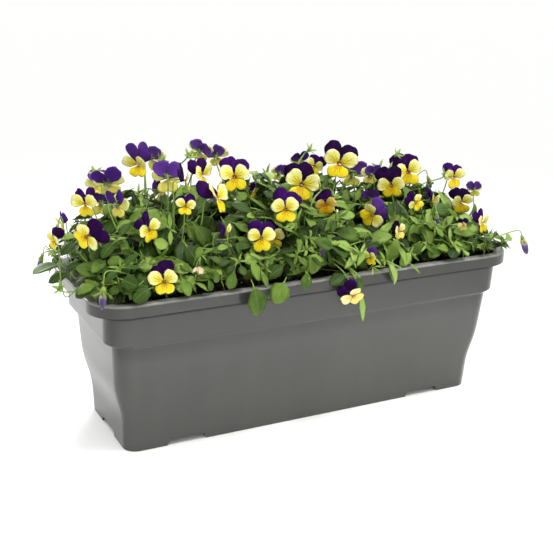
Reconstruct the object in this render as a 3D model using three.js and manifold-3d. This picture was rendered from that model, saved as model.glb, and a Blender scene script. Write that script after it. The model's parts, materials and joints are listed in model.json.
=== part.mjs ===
// A planted window box: a moulded plastic trough, its potting soil, and six viola plants with their flowers.
// Millimetres, +Z up. The origin is the middle of the trough's underside, X runs along its length and
// -Y is its front.
import * as THREE from "three";
import { mergeVertices } from "three/addons/utils/BufferGeometryUtils.js";
import Module from "manifold-3d";

const wasm = await Module();
wasm.setup();

// ---------------------------------------------------------------- driving dimensions

const boxLength = 500; // over the rim
const boxWidth = 190; // over the rim
const boxHeight = 172;
const wall = 2.4;
const rimDrop = 13.6; // height of the turned-down lip
const rimRadius = 38; // plan corner of the rim
const endLedge = 14.6; // how far the rim stands out past the collar at each end
const sideLedge = 7.2; // and at the front and back
const collarFoot = 125; // height at which the collar steps in to the body
const endStep = 8.6; // depth of that step at the ends
const sideStep = 1.4;
const footLength = 430; // over the bottom edge
const footWidth = 129.4;
const floorHeight = 9; // underside of the raised floor
const floorThickness = 3;
const notchHeight = 6;
const notchInner = 126; // each long side's notches run between these distances from the middle
const notchOuter = 171;
const endNotchHalf = 22;
const drainRadius = 5;
const drainSpacing = 100;

const clearance = 0.3; // between pieces that touch
const soilTop = 161;
const soilCrown = 3; // the soil's surface rises this much to its middle
const rootRadius = 6;
const rootDepth = 14;

const rootStub = 8; // the crown stands this far out of the soil
const stemRadius = 1.3;
const stalkRadius = 0.9;
const leafThickness = 1.1;
const leafRoom = 22; // least distance between the middles of two leaves
const neckLength = 7; // from a flower's face back to the end of its calyx
const neckGap = 0.5; // between a calyx and its stalk
const plotMargin = 0.6; // leaves of neighbouring plants keep this far from the line between them
const spreadX = 300; // no leaf reaches further out than this
const spreadY = 118;

// ---------------------------------------------------------------- solids

const deg = THREE.MathUtils.degToRad;

// Joins rings of equally many points into one closed body. Each ring runs anticlockwise about the way
// the rings advance, and the first and last are closed with flat caps.
function loft(rings) {
  const count = rings[0].length;
  const index = [];
  for (let r = 0; r + 1 < rings.length; r++) {
    for (let i = 0; i < count; i++) {
      const a = r * count + i;
      const b = r * count + ((i + 1) % count);
      index.push(a, b, b + count, a, b + count, a + count);
    }
  }
  const last = (rings.length - 1) * count;
  for (let i = 1; i + 1 < count; i++) {
    index.push(0, i + 1, i);
    index.push(last, last + i, last + i + 1);
  }
  return new THREE.BufferGeometry().setFromPoints(rings.flat()).setIndex(index);
}

// A thin body with one outline and a point above and below it: a leaf or a flower's spread of petals.
function lens(outline, top, bottom) {
  const count = outline.length;
  const index = [];
  for (let i = 0; i < count; i++) {
    const next = (i + 1) % count;
    index.push(i, next, count);
    index.push(next, i, count + 1);
  }
  return new THREE.BufferGeometry().setFromPoints([...outline, top, bottom]).setIndex(index);
}

function tube(points, radius, sides, steps) {
  const section = new THREE.Shape();
  for (let i = 0; i < sides; i++) {
    const angle = (i / sides) * 2 * Math.PI;
    const corner = [radius * Math.cos(angle), radius * Math.sin(angle)];
    if (i === 0) section.moveTo(...corner);
    else section.lineTo(...corner);
  }
  section.closePath();
  const path = new THREE.CatmullRomCurve3(points, false, "centripetal");
  return new THREE.ExtrudeGeometry(section, { steps, bevelEnabled: false, extrudePath: path });
}

function solid(geometry) {
  const bare = geometry.clone();
  bare.deleteAttribute("normal");
  bare.deleteAttribute("uv");
  const merged = mergeVertices(bare, 1e-4);
  return new wasm.Manifold(
    new wasm.Mesh({
      numProp: 3,
      vertProperties: new Float32Array(merged.attributes.position.array),
      triVerts: new Uint32Array(merged.index.array),
    }),
  );
}

function meshOf(name, body, material) {
  const { vertProperties, triVerts } = body.getMesh();
  const geometry = new THREE.BufferGeometry();
  geometry.setAttribute("position", new THREE.BufferAttribute(vertProperties, 3));
  geometry.setIndex(new THREE.BufferAttribute(triVerts, 1));
  geometry.computeVertexNormals();
  const mesh = new THREE.Mesh(geometry, material);
  mesh.name = name;
  return mesh;
}

// ---------------------------------------------------------------- trough

// A rounded rectangle at one height, anticlockwise from above.
function ring(halfLength, halfWidth, radius, z, steps = 4) {
  const points = [];
  for (let corner = 0; corner < 4; corner++) {
    const signX = corner === 0 || corner === 3 ? 1 : -1;
    const signY = corner < 2 ? 1 : -1;
    for (let i = 0; i <= steps; i++) {
      const angle = ((corner + i / steps) * Math.PI) / 2;
      points.push(
        new THREE.Vector3(
          signX * (halfLength - radius) + radius * Math.cos(angle),
          signY * (halfWidth - radius) + radius * Math.sin(angle),
          z,
        ),
      );
    }
  }
  return points;
}

const rimX = boxLength / 2;
const rimY = boxWidth / 2;
const collarX = rimX - endLedge;
const collarY = rimY - sideLedge;
const collarFootY = collarY - 3.8; // the collar draws in a little towards its foot
const bodyX = collarX - endStep;
const bodyY = collarFootY - sideStep;
const footX = footLength / 2;
const footY = footWidth / 2;

// The outer wall from the bottom edge up: half length, half width, corner radius, height. The ends have
// a soft double bend a third of the way up.
const outerWall = [
  [footX, footY, 15.5, 0],
  [footX + 0.8, 70.2, 17.5, 38],
  [footX + 9.3, 74.9, 19.5, 69],
  [bodyX, bodyY, 21.5, collarFoot - 2.5],
  [collarX, collarFootY, 23.5, collarFoot],
  [collarX, collarY, 23.5, boxHeight - wall],
];

// The same wall's inner face, one wall thickness in.
const innerWall = [
  [collarX - wall, collarY - wall, 21.1, boxHeight - 1],
  [collarX - wall, collarFootY - wall, 21.1, collarFoot + 1],
  [bodyX - wall, bodyY - wall, 19.1, collarFoot - 3.5],
  [footX + 9.3 - wall, 74.9 - wall, 17.1, 68],
  [footX + 0.8 - wall, 70.2 - wall, 15.1, 37],
  [footX - wall, footY + 1.4 - wall, 13.1, floorHeight + floorThickness],
];

// The rim: out under its ledge, down inside the lip, round its bottom edge and over the top.
const rimRings = [
  [rimX - wall, rimY - wall, rimRadius - wall, boxHeight - wall],
  [rimX - wall, rimY - wall, rimRadius - wall, boxHeight - rimDrop],
  [rimX, rimY, rimRadius, boxHeight - rimDrop],
  [rimX, rimY, rimRadius, boxHeight - 2],
  [rimX - 0.8, rimY - 0.8, rimRadius - 0.8, boxHeight - 0.5],
  [rimX - 2.2, rimY - 2.2, rimRadius - 2.2, boxHeight],
  [collarX - wall + 1, collarY - wall + 1, 22.1, boxHeight],
];

function makeTrough() {
  const underside = [
    [footX - wall, footY + 1 - wall, 13.1, floorHeight],
    [footX - wall, footY - wall, 13.1, 0],
  ];
  const profile = [...underside, ...outerWall, ...rimRings, ...innerWall];
  let body = solid(loft(profile.map((row) => ring(...row))));
  for (const side of [-1, 1]) {
    body = body.subtract(notch(side * notchInner, side * notchOuter, false));
  }
  body = body.subtract(notch(-endNotchHalf, endNotchHalf, true));
  for (let i = -1.5; i <= 1.5; i++) {
    const drill = new THREE.CylinderGeometry(drainRadius, drainRadius, 4 * floorThickness, 12);
    drill.rotateX(Math.PI / 2);
    drill.translate(i * drainSpacing, 0, floorHeight + floorThickness / 2);
    body = body.subtract(solid(drill));
  }
  return body;
}

// A bar with sloped sides that cuts one notch in each of two opposite bottom edges.
function notch(from, to, acrossEnds) {
  const low = Math.min(from, to);
  const high = Math.max(from, to);
  const slope = 3;
  const outline = new THREE.Shape();
  outline.moveTo(low - 1, -2);
  outline.lineTo(high + 1, -2);
  outline.lineTo(high - slope, notchHeight);
  outline.lineTo(low + slope, notchHeight);
  outline.closePath();
  const bar = new THREE.ExtrudeGeometry(outline, { depth: 600, bevelEnabled: false });
  bar.translate(0, 0, -300);
  bar.rotateX(Math.PI / 2);
  if (acrossEnds) bar.rotateZ(Math.PI / 2);
  return solid(bar);
}

// ---------------------------------------------------------------- soil

function makeSoil(crowns) {
  const gap = clearance;
  const fill = [
    [footX - wall - gap, footY + 1.4 - wall - gap, 12.8, floorHeight + floorThickness + gap],
    [footX + 0.8 - wall - gap, 70.2 - wall - gap, 14.8, 37],
    [footX + 9.3 - wall - gap, 74.9 - wall - gap, 16.8, 68],
    [bodyX - wall - gap, bodyY - wall - gap, 18.8, collarFoot - 3.5],
    [collarX - wall - 1, collarFootY - wall - 1, 20, collarFoot + 2.5],
    [collarX - wall - 1, collarY - wall - 2, 20, soilTop - 2],
    [collarX - 12, collarY - 12, 18, soilTop],
    [collarX - 70, collarY - 55, 10, soilTop + soilCrown],
  ];
  let body = solid(loft(fill.map((row) => ring(...row))));
  for (const [x, y] of crowns) {
    const hole = new THREE.CylinderGeometry(rootRadius + clearance, rootRadius + clearance, 40, 8);
    hole.rotateX(Math.PI / 2);
    hole.translate(x, y, soilTop - rootDepth - clearance + 20);
    body = body.subtract(solid(hole));
  }
  return body;
}

// ---------------------------------------------------------------- plants

// Each plant roots at its crown and keeps its leaves inside its own plot of the trough. A flower's row
// gives the middle of its face, then turn, nod and spin in degrees, and its size as a share of a full
// flower 31 mm wide: turn 0 faces the front and turns towards +X, nod looks up, spin leans it clockwise.
// A shoot's row gives its tip. A bud's row gives its tip too, and closed buds grow on the plant's stems.
const plants = [
  {
    name: "viola_1",
    crown: [-158, -42],
    plot: { minX: -spreadX, maxX: -82, minY: -spreadY, maxY: 0 },
    flowers: [
      [-237, -25, 260, -38, -4, -6, 0.86],
      [-207, -4, 274, 150, 15, 10, 1.0],
      [-207, -36, 258, 112, -8, 0, 0.82],
      [-272, -36, 230, -70, 0, 5, 0.6],
      [-245, -60, 236, -50, -8, 65, 0.9],
      [-147, -12, 276, 165, -18, 5, 1.0],
      [-140, -46, 280, 62, 8, 0, 0.78],
      [-144, -56, 256, -20, 8, 0, 0.62],
      [-109, -14, 277, 32, 8, 0, 0.9],
      [-110, -56, 263, -12, 22, -28, 1.12],
      [-184, -62, 238, -22, -6, -8, 0.8],
      [-181, -93, 194, -27, 5, 2, 0.93],
      [-144, -92, 203, -30, -62, 0, 0.5],
      [-107, -72, 227, 60, 0, -35, 0.7],
    ],
    shoots: [
      [-262, -42, 200],
      [-252, -66, 186],
      [-232, -78, 190],
      [-205, -84, 188],
      [-150, -86, 186],
      [-118, -86, 184],
      [-196, -40, 212],
      [-120, -30, 214],
      [-100, -98, 186],
    ],
    buds: [
      [-242, -94, 186],
      [-272, -52, 178],
      [-262, -12, 236],
    ],
  },
  {
    name: "viola_2",
    crown: [-8, -42],
    plot: { minX: -82, maxX: 76, minY: -spreadY, maxY: 0 },
    flowers: [
      [-75, -20, 274, -16, 5, -5, 1.05],
      [-45, -6, 251, 40, -18, 0, 0.5],
      [-34, -60, 244, -27, 10, 12, 1.0],
      [5, -20, 259, -20, 4, 4, 1.22],
      [29, -32, 236, -20, -12, 0, 0.8],
      [61, -3, 275, -27, 5, 0, 1.2],
      [-69, -74, 220, -27, 10, 0, 0.9],
      [-42, -48, 211, -20, 5, 5, 0.85],
      [53, -90, 189, -20, -6, 0, 0.56],
      [20, -110, 156, -20, -24, -55, 0.8],
    ],
    shoots: [
      [-70, -86, 190],
      [-88, -106, 168],
      [-60, -106, 170],
      [-28, -104, 178],
      [-12, -84, 196],
      [32, -106, 172],
      [34, -86, 188],
      [-50, -30, 215],
      [30, -60, 212],
      [40, -14, 216],
    ],
    buds: [
      [-2, -82, 206],
      [-26, -86, 216],
    ],
  },
  {
    name: "viola_3",
    crown: [152, -42],
    plot: { minX: 76, maxX: spreadX, minY: -spreadY, maxY: 0 },
    flowers: [
      [114, -30, 250, -30, -10, 0, 1.0],
      [131, -54, 233, -10, 0, -45, 0.6],
      [178, -20, 223, 68, 0, 0, 0.8],
      [104, -5, 229, 150, 10, 0, 0.7],
      [81, -48, 221, -20, 5, 68, 0.95],
      [101, -70, 208, -27, 0, -20, 0.6],
      [214, -30, 221, -20, 0, 0, 0.85],
      [221, -62, 203, 22, 5, 0, 0.76],
      [184, -76, 207, -60, -10, 0, 0.46],
    ],
    shoots: [
      [84, -104, 176],
      [104, -88, 184],
      [128, -86, 192],
      [158, -86, 190],
      [192, -84, 186],
      [228, -76, 186],
      [250, -44, 188],
      [200, -48, 202],
      [150, -20, 208],
      [120, -56, 208],
    ],
    buds: [
      [291, -60, 168],
      [150, -70, 222],
    ],
  },
  {
    name: "viola_4",
    crown: [-150, 42],
    plot: { minX: -spreadX, maxX: -76, minY: 0, maxY: spreadY },
    flowers: [
      [-204, 44, 263, 172, -28, 0, 0.72],
      [-164, 30, 284, -52, -8, -10, 1.0],
      [-137, 57, 283, 118, 2, 0, 0.95],
      [-253, 6, 234, -80, -18, 0, 0.62],
      [-142, 25, 252, 72, -18, 0, 0.85],
      [-97, 22, 294, 140, 18, 0, 0.8],
      [-188, 84, 232, 172, 4, 0, 0.95],
    ],
    shoots: [
      [-252, 30, 196],
      [-246, 62, 190],
      [-222, 84, 188],
      [-184, 88, 190],
      [-140, 88, 190],
      [-104, 86, 188],
      [-196, 42, 214],
      [-120, 40, 222],
      [-128, 104, 180],
      [-150, 14, 216],
      [-218, 16, 208],
    ],
    buds: [
      [-114, 10, 292],
      [-160, 92, 214],
      [-284, 40, 206],
    ],
  },
  {
    name: "viola_5",
    crown: [8, 42],
    plot: { minX: -76, maxX: 84, minY: 0, maxY: spreadY },
    flowers: [
      [-67, 46, 282, 152, 8, 0, 0.8],
      [14, 52, 255, 162, 8, 0, 0.62],
      [45, 62, 266, 172, 18, 0, 0.66],
      [46, 27, 266, -40, 8, 0, 0.7],
      [-34, 82, 236, -172, 6, 4, 1.0],
      [60, 88, 222, 176, 2, -8, 0.86],
    ],
    shoots: [
      [-60, 86, 190],
      [-20, 90, 192],
      [24, 88, 192],
      [62, 86, 188],
      [-50, 40, 220],
      [-10, 24, 222],
      [34, 36, 220],
      [60, 16, 216],
      [-6, 104, 178],
      [46, 106, 168],
    ],
    buds: [
      [46, 42, 282],
      [-10, 96, 212],
    ],
  },
  {
    name: "viola_6",
    crown: [156, 42],
    plot: { minX: 84, maxX: spreadX, minY: 0, maxY: spreadY },
    flowers: [
      [119, 62, 243, 152, 0, 0, 1.0],
      [115, 16, 252, 168, 0, 0, 0.75],
      [163, 11, 254, -10, 8, -6, 1.12],
      [237, 21, 239, -10, 5, -12, 0.86],
      [262, 10, 223, 140, 0, 0, 0.6],
      [198, 78, 222, 156, 6, 0, 0.95],
    ],
    shoots: [
      [98, 88, 188],
      [136, 90, 190],
      [176, 88, 190],
      [214, 84, 188],
      [248, 56, 188],
      [256, 14, 190],
      [206, 30, 208],
      [160, 48, 216],
      [110, 36, 216],
      [196, 8, 210],
      [166, 104, 178],
      [230, 50, 200],
    ],
    buds: [
      [153, 22, 272],
      [206, 30, 238],
      [140, 96, 206],
    ],
  },
];

const crowns = plants.map((plant) => plant.crown);
const heads = plants.flatMap((plant) => plant.flowers);

// Three unit vectors of a flower that faces its own way: out of its face, up its face, to its right.
function facing(turn, nod, spin) {
  const out = new THREE.Vector3(
    Math.sin(deg(turn)) * Math.cos(deg(nod)),
    -Math.cos(deg(turn)) * Math.cos(deg(nod)),
    Math.sin(deg(nod)),
  );
  const right = new THREE.Vector3(0, 0, 1).cross(out).normalize();
  const up = out.clone().cross(right);
  right.applyAxisAngle(out, -deg(spin));
  up.applyAxisAngle(out, -deg(spin));
  return { out, up, right };
}

// The five petals as one outline: angle from the top, reach and half width in degrees, and how far the
// petal's edge stands forward of the throat. Two petals stand up, two lie to the sides, one hangs down.
const petals = [
  { angle: 26, reach: 18, half: 27, lean: -1.5 },
  { angle: 82, reach: 15.5, half: 26, lean: 1 },
  { angle: 180, reach: 16.5, half: 38, lean: 2.5 },
  { angle: 278, reach: 15.5, half: 26, lean: 1 },
  { angle: 334, reach: 18, half: 27, lean: -1.5 },
];
const petalNotch = 0.5; // depth of the gap between petals, as a share of their reach

function makeFlower([x, y, z, turn, nod, spin, size]) {
  const { out, up, right } = facing(turn, nod, spin);
  const middle = new THREE.Vector3(x, y, z);
  const place = (angle, reach, lean) =>
    middle
      .clone()
      .addScaledVector(right, size * reach * Math.sin(deg(angle)))
      .addScaledVector(up, size * reach * Math.cos(deg(angle)))
      .addScaledVector(out, size * lean);
  const outline = [];
  petals.forEach((petal, i) => {
    const next = petals[(i + 1) % petals.length];
    const wrap = i + 1 === petals.length ? 360 : 0;
    outline.push(place(petal.angle - petal.half * 0.8, petal.reach * 0.86, petal.lean));
    outline.push(place(petal.angle, petal.reach, petal.lean * 1.4));
    outline.push(place(petal.angle + petal.half * 0.8, petal.reach * 0.86, petal.lean));
    outline.push(place((petal.angle + next.angle + wrap) / 2, petal.reach * petalNotch, 0));
  });
  const throat = middle.clone().addScaledVector(out, 1.5 * size);
  const calyx = middle.clone().addScaledVector(out, -neckLength * size);
  return solid(lens(outline.reverse(), throat, calyx));
}

// Where a stem leaves its crown, on the side that faces where it goes.
function stemFoot([crownX, crownY], x, y) {
  const heading = Math.atan2(y - crownY, x - crownX);
  const reach = rootRadius * 0.7;
  const z = soilTop + rootStub - 2;
  return new THREE.Vector3(crownX + reach * Math.cos(heading), crownY + reach * Math.sin(heading), z);
}

// The point where a stem that hangs outside the trough passes over the rim, or nothing.
function overRim(foot, x, y) {
  const outside = Math.max(Math.abs(x) / rimX, Math.abs(y) / rimY);
  if (outside <= 1) return [];
  const share = 1 / outside;
  const point = new THREE.Vector3(x, y, 0).multiplyScalar(share);
  point.lerp(foot, 0.04);
  point.z = boxHeight + 7;
  return [point];
}

// A flower's stalk: out from the crown, up under the flower, and over in a hook to its calyx.
function stalkRoute(crown, [x, y, z, turn, nod, spin, size]) {
  const { out } = facing(turn, nod, spin);
  const middle = new THREE.Vector3(x, y, z);
  const neck = middle.clone().addScaledVector(out, -neckLength * size - neckGap);
  const bend = middle.clone().addScaledVector(out, -neckLength * size - 6);
  const foot = stemFoot(crown, x, y);
  const rim = overRim(foot, x, y);
  if (rim.length) {
    const rise = foot.clone().lerp(rim[0], 0.5);
    rise.z = rim[0].z + 8;
    return [foot, rise, ...rim, bend.setZ(Math.min(bend.z + 4, boxHeight - 4)), neck];
  }
  bend.z -= 1;
  const lean = 0.12 + 0.3 * Math.max(0, -out.z); // a nodding flower's stalk stands further off
  const knee = bend.clone().lerp(new THREE.Vector3(foot.x, foot.y, bend.z), lean);
  knee.z = z - 30 * Math.sqrt(size);
  const side = foot.clone().lerp(knee, 0.5);
  side.z = foot.z + (knee.z - foot.z) * 0.38;
  return [foot, side, knee, bend, neck];
}

// A leafy shoot: an arch from the crown to its tip, over the rim where the tip hangs outside it.
function shootRoute(crown, [x, y, z]) {
  const foot = stemFoot(crown, x, y);
  const tip = new THREE.Vector3(x, y, z);
  const rim = overRim(foot, x, y);
  const side = foot.clone().lerp(rim[0] ?? tip, 0.5);
  side.z = foot.z + (Math.max(z, boxHeight + 8) - foot.z) * 0.8 + 5;
  return [foot, side, ...rim, tip];
}

function makeRandom(seed) {
  let state = seed;
  return () => {
    state = (state * 16807) % 2147483647;
    return state / 2147483647;
  };
}

// A leaf: a narrow foot that widens to an oval blade, bent down towards its tip.
function leafPoints(base, heading, rise, length, width) {
  const along = new THREE.Vector3(Math.cos(heading), Math.sin(heading), 0);
  const across = new THREE.Vector3(-along.y, along.x, 0);
  const at = (share, sideways) =>
    base
      .clone()
      .addScaledVector(along, share * length * Math.cos(rise))
      .addScaledVector(across, sideways)
      .add(new THREE.Vector3(0, 0, share * length * (Math.sin(rise) - 0.25 * share)));
  const half = width / 2;
  const outline = [
    at(0, -0.8),
    at(0.55, -half),
    at(0.85, -half * 0.7),
    at(1, 0),
    at(0.85, half * 0.7),
    at(0.55, half),
    at(0, 0.8),
  ];
  const middle = at(0.6, 0);
  const lift = new THREE.Vector3(0, 0, leafThickness / 2);
  return { outline, top: middle.clone().add(lift), bottom: middle.clone().sub(lift) };
}

function isClear(point, plot) {
  const { minX, maxX, minY, maxY } = plot;
  if (point.x < minX + plotMargin || point.x > maxX - plotMargin) return false;
  if (point.y < minY + plotMargin || point.y > maxY - plotMargin) return false;
  const insideMouth = Math.abs(point.x) < collarX - 6 && Math.abs(point.y) < collarY - 6;
  const outsideRim = Math.abs(point.x) > rimX + 1 || Math.abs(point.y) > rimY + 1;
  if (insideMouth && point.z < soilTop + soilCrown + 1.5) return false;
  if (!insideMouth && !outsideRim && point.z < boxHeight + 1.5) return false;
  return heads.every(([x, y, z, , , , size]) => {
    const reach = 18.5 * size;
    return point.distanceToSquared(new THREE.Vector3(x, y, z)) > reach * reach;
  });
}

// A stem with a leaf at each of its joints from first to last, wherever the leaf has room.
function growStem(route, radius, steps, first, last, plot, random, taken) {
  const stem = solid(tube(route, radius, 3, steps));
  const curve = new THREE.CatmullRomCurve3(route, false, "centripetal");
  const grown = [stem];
  let heading = random() * 2 * Math.PI;
  for (let joint = first; joint <= last; joint++) {
    heading += deg(137.5);
    const length = 27 + 8 * random();
    const rise = deg(5 + 35 * random());
    const { outline, top, bottom } = leafPoints(
      curve.getPointAt(joint / steps), heading, rise, length, length * 0.55,
    );
    const roomy = taken.every((other) => other.distanceTo(top) > leafRoom);
    if (!roomy || ![...outline.slice(1, 6), top].every((point) => isClear(point, plot))) continue;
    taken.push(top);
    grown.push(solid(lens(outline, top, bottom)));
  }
  return grown;
}

// A closed bud on the end of its stalk.
function makeBud([x, y, z]) {
  const shape = new THREE.SphereGeometry(4, 5, 3);
  shape.scale(1, 1.9, 1);
  shape.rotateX(Math.PI / 2);
  shape.translate(x, y, z);
  return solid(shape);
}

function makeGreens({ crown, plot, flowers, shoots, buds }, seed) {
  const random = makeRandom(seed);
  const height = rootDepth + rootStub;
  const root = new THREE.CylinderGeometry(rootRadius, rootRadius * 0.7, height, 8);
  root.rotateX(Math.PI / 2);
  root.translate(crown[0], crown[1], soilTop - rootDepth + height / 2);
  const taken = [];
  const pieces = [solid(root)];
  for (const tip of shoots) {
    pieces.push(...growStem(shootRoute(crown, tip), stemRadius, 4, 2, 4, plot, random, taken));
  }
  for (const flower of flowers) {
    pieces.push(...growStem(stalkRoute(crown, flower), stalkRadius, 6, 2, 4, plot, random, taken));
  }
  for (const tip of buds) {
    pieces.push(...growStem(shootRoute(crown, tip), stalkRadius, 4, 4, 3, plot, random, taken));
  }
  pieces.push(...buds.map(makeBud));
  return pieces.reduce((body, piece) => body.add(piece));
}

// ---------------------------------------------------------------- assembly

const greyPlastic = { color: 0x63635e, roughness: 0.45, metalness: 0 };
const darkSoil = { color: 0x2b1d14, roughness: 1, metalness: 0 };
const leafGreen = { color: 0x3f6b2a, roughness: 0.55, metalness: 0 };
const violetAndYellow = { color: 0xf2d534, roughness: 0.6, metalness: 0 };

const windowBox = new THREE.Group();
windowBox.add(
  meshOf("planter_box", makeTrough(), new THREE.MeshStandardMaterial(greyPlastic)),
  meshOf("potting_soil", makeSoil(crowns), new THREE.MeshStandardMaterial(darkSoil)),
);
plants.forEach((plant, i) => {
  const greens = new THREE.MeshStandardMaterial(leafGreen);
  windowBox.add(meshOf(`${plant.name}_greens`, makeGreens(plant, 11 + i), greens));
  plant.flowers.forEach((flower, n) => {
    const name = `${plant.name}_flower_${n + 1}`;
    windowBox.add(meshOf(name, makeFlower(flower), new THREE.MeshStandardMaterial(violetAndYellow)));
  });
});

export default windowBox;
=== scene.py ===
import json
import math
import random

import bmesh
import bpy
from mathutils import Matrix, Quaternion, Vector, noise

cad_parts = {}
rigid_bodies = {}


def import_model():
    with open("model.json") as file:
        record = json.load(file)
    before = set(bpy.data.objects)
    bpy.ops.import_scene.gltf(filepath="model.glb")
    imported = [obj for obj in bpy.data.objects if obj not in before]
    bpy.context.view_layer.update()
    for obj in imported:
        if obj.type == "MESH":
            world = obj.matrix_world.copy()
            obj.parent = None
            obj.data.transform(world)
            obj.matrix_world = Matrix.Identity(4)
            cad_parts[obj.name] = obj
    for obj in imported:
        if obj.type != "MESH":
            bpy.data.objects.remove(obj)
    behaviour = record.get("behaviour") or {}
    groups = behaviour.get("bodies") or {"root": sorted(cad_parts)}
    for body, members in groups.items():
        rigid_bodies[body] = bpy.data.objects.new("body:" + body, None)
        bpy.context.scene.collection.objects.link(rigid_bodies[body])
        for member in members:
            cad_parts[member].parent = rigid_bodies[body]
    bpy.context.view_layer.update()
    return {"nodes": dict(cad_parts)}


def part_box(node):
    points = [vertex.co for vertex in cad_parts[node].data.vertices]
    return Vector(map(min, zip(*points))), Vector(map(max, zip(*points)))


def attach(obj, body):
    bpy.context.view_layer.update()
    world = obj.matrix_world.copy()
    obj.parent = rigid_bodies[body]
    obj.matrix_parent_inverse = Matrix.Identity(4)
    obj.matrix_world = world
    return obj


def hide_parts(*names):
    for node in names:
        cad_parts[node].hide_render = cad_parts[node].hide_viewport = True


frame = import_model()
print("frame loaded:", len(frame["nodes"]), "nodes")

mm = 0.001


# Small helpers for node trees; a colour is a socket or six hex digits

def tint(code):
    # made linear for the nodes
    parts = [int(code[i:i + 2], 16) / 255 for i in (0, 2, 4)]
    return (*[part / 12.92 if part <= 0.04045 else ((part + 0.055) / 1.055) ** 2.4 for part in parts], 1.0)


def fill(tree, node, values):
    # another node's output is linked, and any other value is set
    for key, value in values.items():
        if isinstance(value, bpy.types.NodeSocket):
            tree.links.new(value, node.inputs[key])
        else:
            node.inputs[key].default_value = value
    return node


def addNode(tree, kind, values=None, **settings):
    node = tree.nodes.new(kind)
    for key, value in settings.items():
        setattr(node, key, value)
    return fill(tree, node, values or {})


def calc(tree, operation, *values):
    return addNode(tree, "ShaderNodeMath", dict(enumerate(values)), operation=operation).outputs[0]


def times(tree, first, second):
    return calc(tree, "MULTIPLY", first, second)


def weighted(tree, first, firstShare, second, secondShare):
    return calc(tree, "ADD", times(tree, first, firstShare), times(tree, second, secondShare))


def mixColour(tree, factor, first, second, blend="MIX"):
    first, second = (tint(one) if isinstance(one, str) else one for one in (first, second))
    return addNode(tree, "ShaderNodeMix", {0: factor, 6: first, 7: second},
                   data_type="RGBA", blend_type=blend).outputs[2]


def layColours(tree, colour, layers):
    # layers are a mask, how much of it covers, the colour and how it is mixed in
    for mask, share, over, *blend in layers:
        colour = mixColour(tree, times(tree, mask, share), colour, over, *blend)
    return colour


def rangeOf(tree, value, fromLow, fromHigh, low=0.0, high=1.0, kind="LINEAR"):
    return addNode(tree, "ShaderNodeMapRange", {0: value, 1: fromLow, 2: fromHigh, 3: low, 4: high},
                   interpolation_type=kind).outputs[0]


def smoothRange(tree, *values):
    return rangeOf(tree, *values, kind="SMOOTHSTEP")


def rampOf(tree, value, stops):
    node = addNode(tree, "ShaderNodeValToRGB", {0: value})
    for i, (place, colour) in enumerate(stops):
        stop = node.color_ramp.elements[i] if i < 2 else node.color_ramp.elements.new(place)
        stop.position = place
        stop.color = tint(colour)
    return node.outputs[0]


def noiseOf(tree, vector, scale, detail=3.0, roughness=0.5):
    return addNode(tree, "ShaderNodeTexNoise",
                   {"Vector": vector, "Scale": scale, "Detail": detail, "Roughness": roughness}).outputs[0]


def bumpOf(tree, height, strength, distance):
    return addNode(tree, "ShaderNodeBump",
                   {"Strength": strength, "Distance": distance, "Height": height}).outputs[0]


def objectPlace(tree):
    return addNode(tree, "ShaderNodeTexCoord").outputs["Object"]


def uvOf(tree):
    return addNode(tree, "ShaderNodeUVMap", uv_map="UVMap").outputs[0]


def partOf(tree, vector, axis):
    return addNode(tree, "ShaderNodeSeparateXYZ", {0: vector}).outputs[axis]


def attributeOf(tree, name):
    return addNode(tree, "ShaderNodeAttribute", attribute_name=name).outputs["Fac"]


def newMaterial(name, values):
    material = bpy.data.materials.new(name)
    material.use_nodes = True
    tree = material.node_tree
    return material, tree, fill(tree, tree.nodes["Principled BSDF"], values)


def newGroup(name, kind, inputs, outputs):
    group = bpy.data.node_groups.new(name, kind)
    for way, sockets in (("INPUT", inputs), ("OUTPUT", outputs)):
        for label, socket in sockets.items():
            group.interface.new_socket(name=label, in_out=way, socket_type="NodeSocket" + socket)
    return group, group.nodes.new("NodeGroupInput").outputs, group.nodes.new("NodeGroupOutput")


def useGroup(tree, group, values):
    return addNode(tree, "ShaderNodeGroup", values, node_tree=group).outputs


# And for pieces, meshes and paths

def newPiece(name, mesh, *materials):
    piece = bpy.data.objects.new(name, mesh)
    bpy.context.scene.collection.objects.link(piece)
    for material in materials:
        piece.data.materials.append(material)
    return piece


def meshFrom(name, points, faces, smooth=True):
    mesh = bpy.data.meshes.new(name)
    mesh.from_pydata([tuple(point) for point in points], [], faces)
    mesh.update()
    if smooth:
        mesh.shade_smooth()
    return mesh


def meshOf(name, maker):
    mesh = bpy.data.meshes.new(name)
    maker.to_mesh(mesh)
    maker.free()
    return mesh


def storeValues(mesh, name, values, kind="FLOAT", domain="POINT"):
    key = "vector" if kind == "FLOAT_VECTOR" else "value"
    mesh.attributes.new(name, kind, domain).data.foreach_set(key, values)


def ringFaces(count, rings, first=0):
    # the quads between rings of points that follow one another
    faces = []
    for low in range(first, first + count * (rings - 1), count):
        for i in range(count):
            j = (i + 1) % count
            faces.append((low + i, low + j, low + count + j, low + count + i))
    return faces


def addTree(piece, tree, values):
    # a Geometry Nodes modifier, its inputs set by their names
    modifier = piece.modifiers.new(tree.name, "NODES")
    modifier.node_group = tree
    for item in tree.interface.items_tree:
        if item.name in values and item.in_out == "INPUT":
            modifier[item.identifier] = values[item.name]


def applyModifiers(piece):
    graph = bpy.context.evaluated_depsgraph_get()
    made = bpy.data.meshes.new_from_object(piece.evaluated_get(graph))
    made.name = piece.name
    piece.modifiers.clear()
    piece.data = made


def makeCollection(name, pieces):
    collection = bpy.data.collections.new(name)
    for piece in pieces:
        bpy.context.scene.collection.objects.unlink(piece)
        collection.objects.link(piece)
    return collection


def dropCollection(collection):
    for piece in list(collection.objects):
        bpy.data.objects.remove(piece)
    bpy.data.collections.remove(collection)


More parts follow.
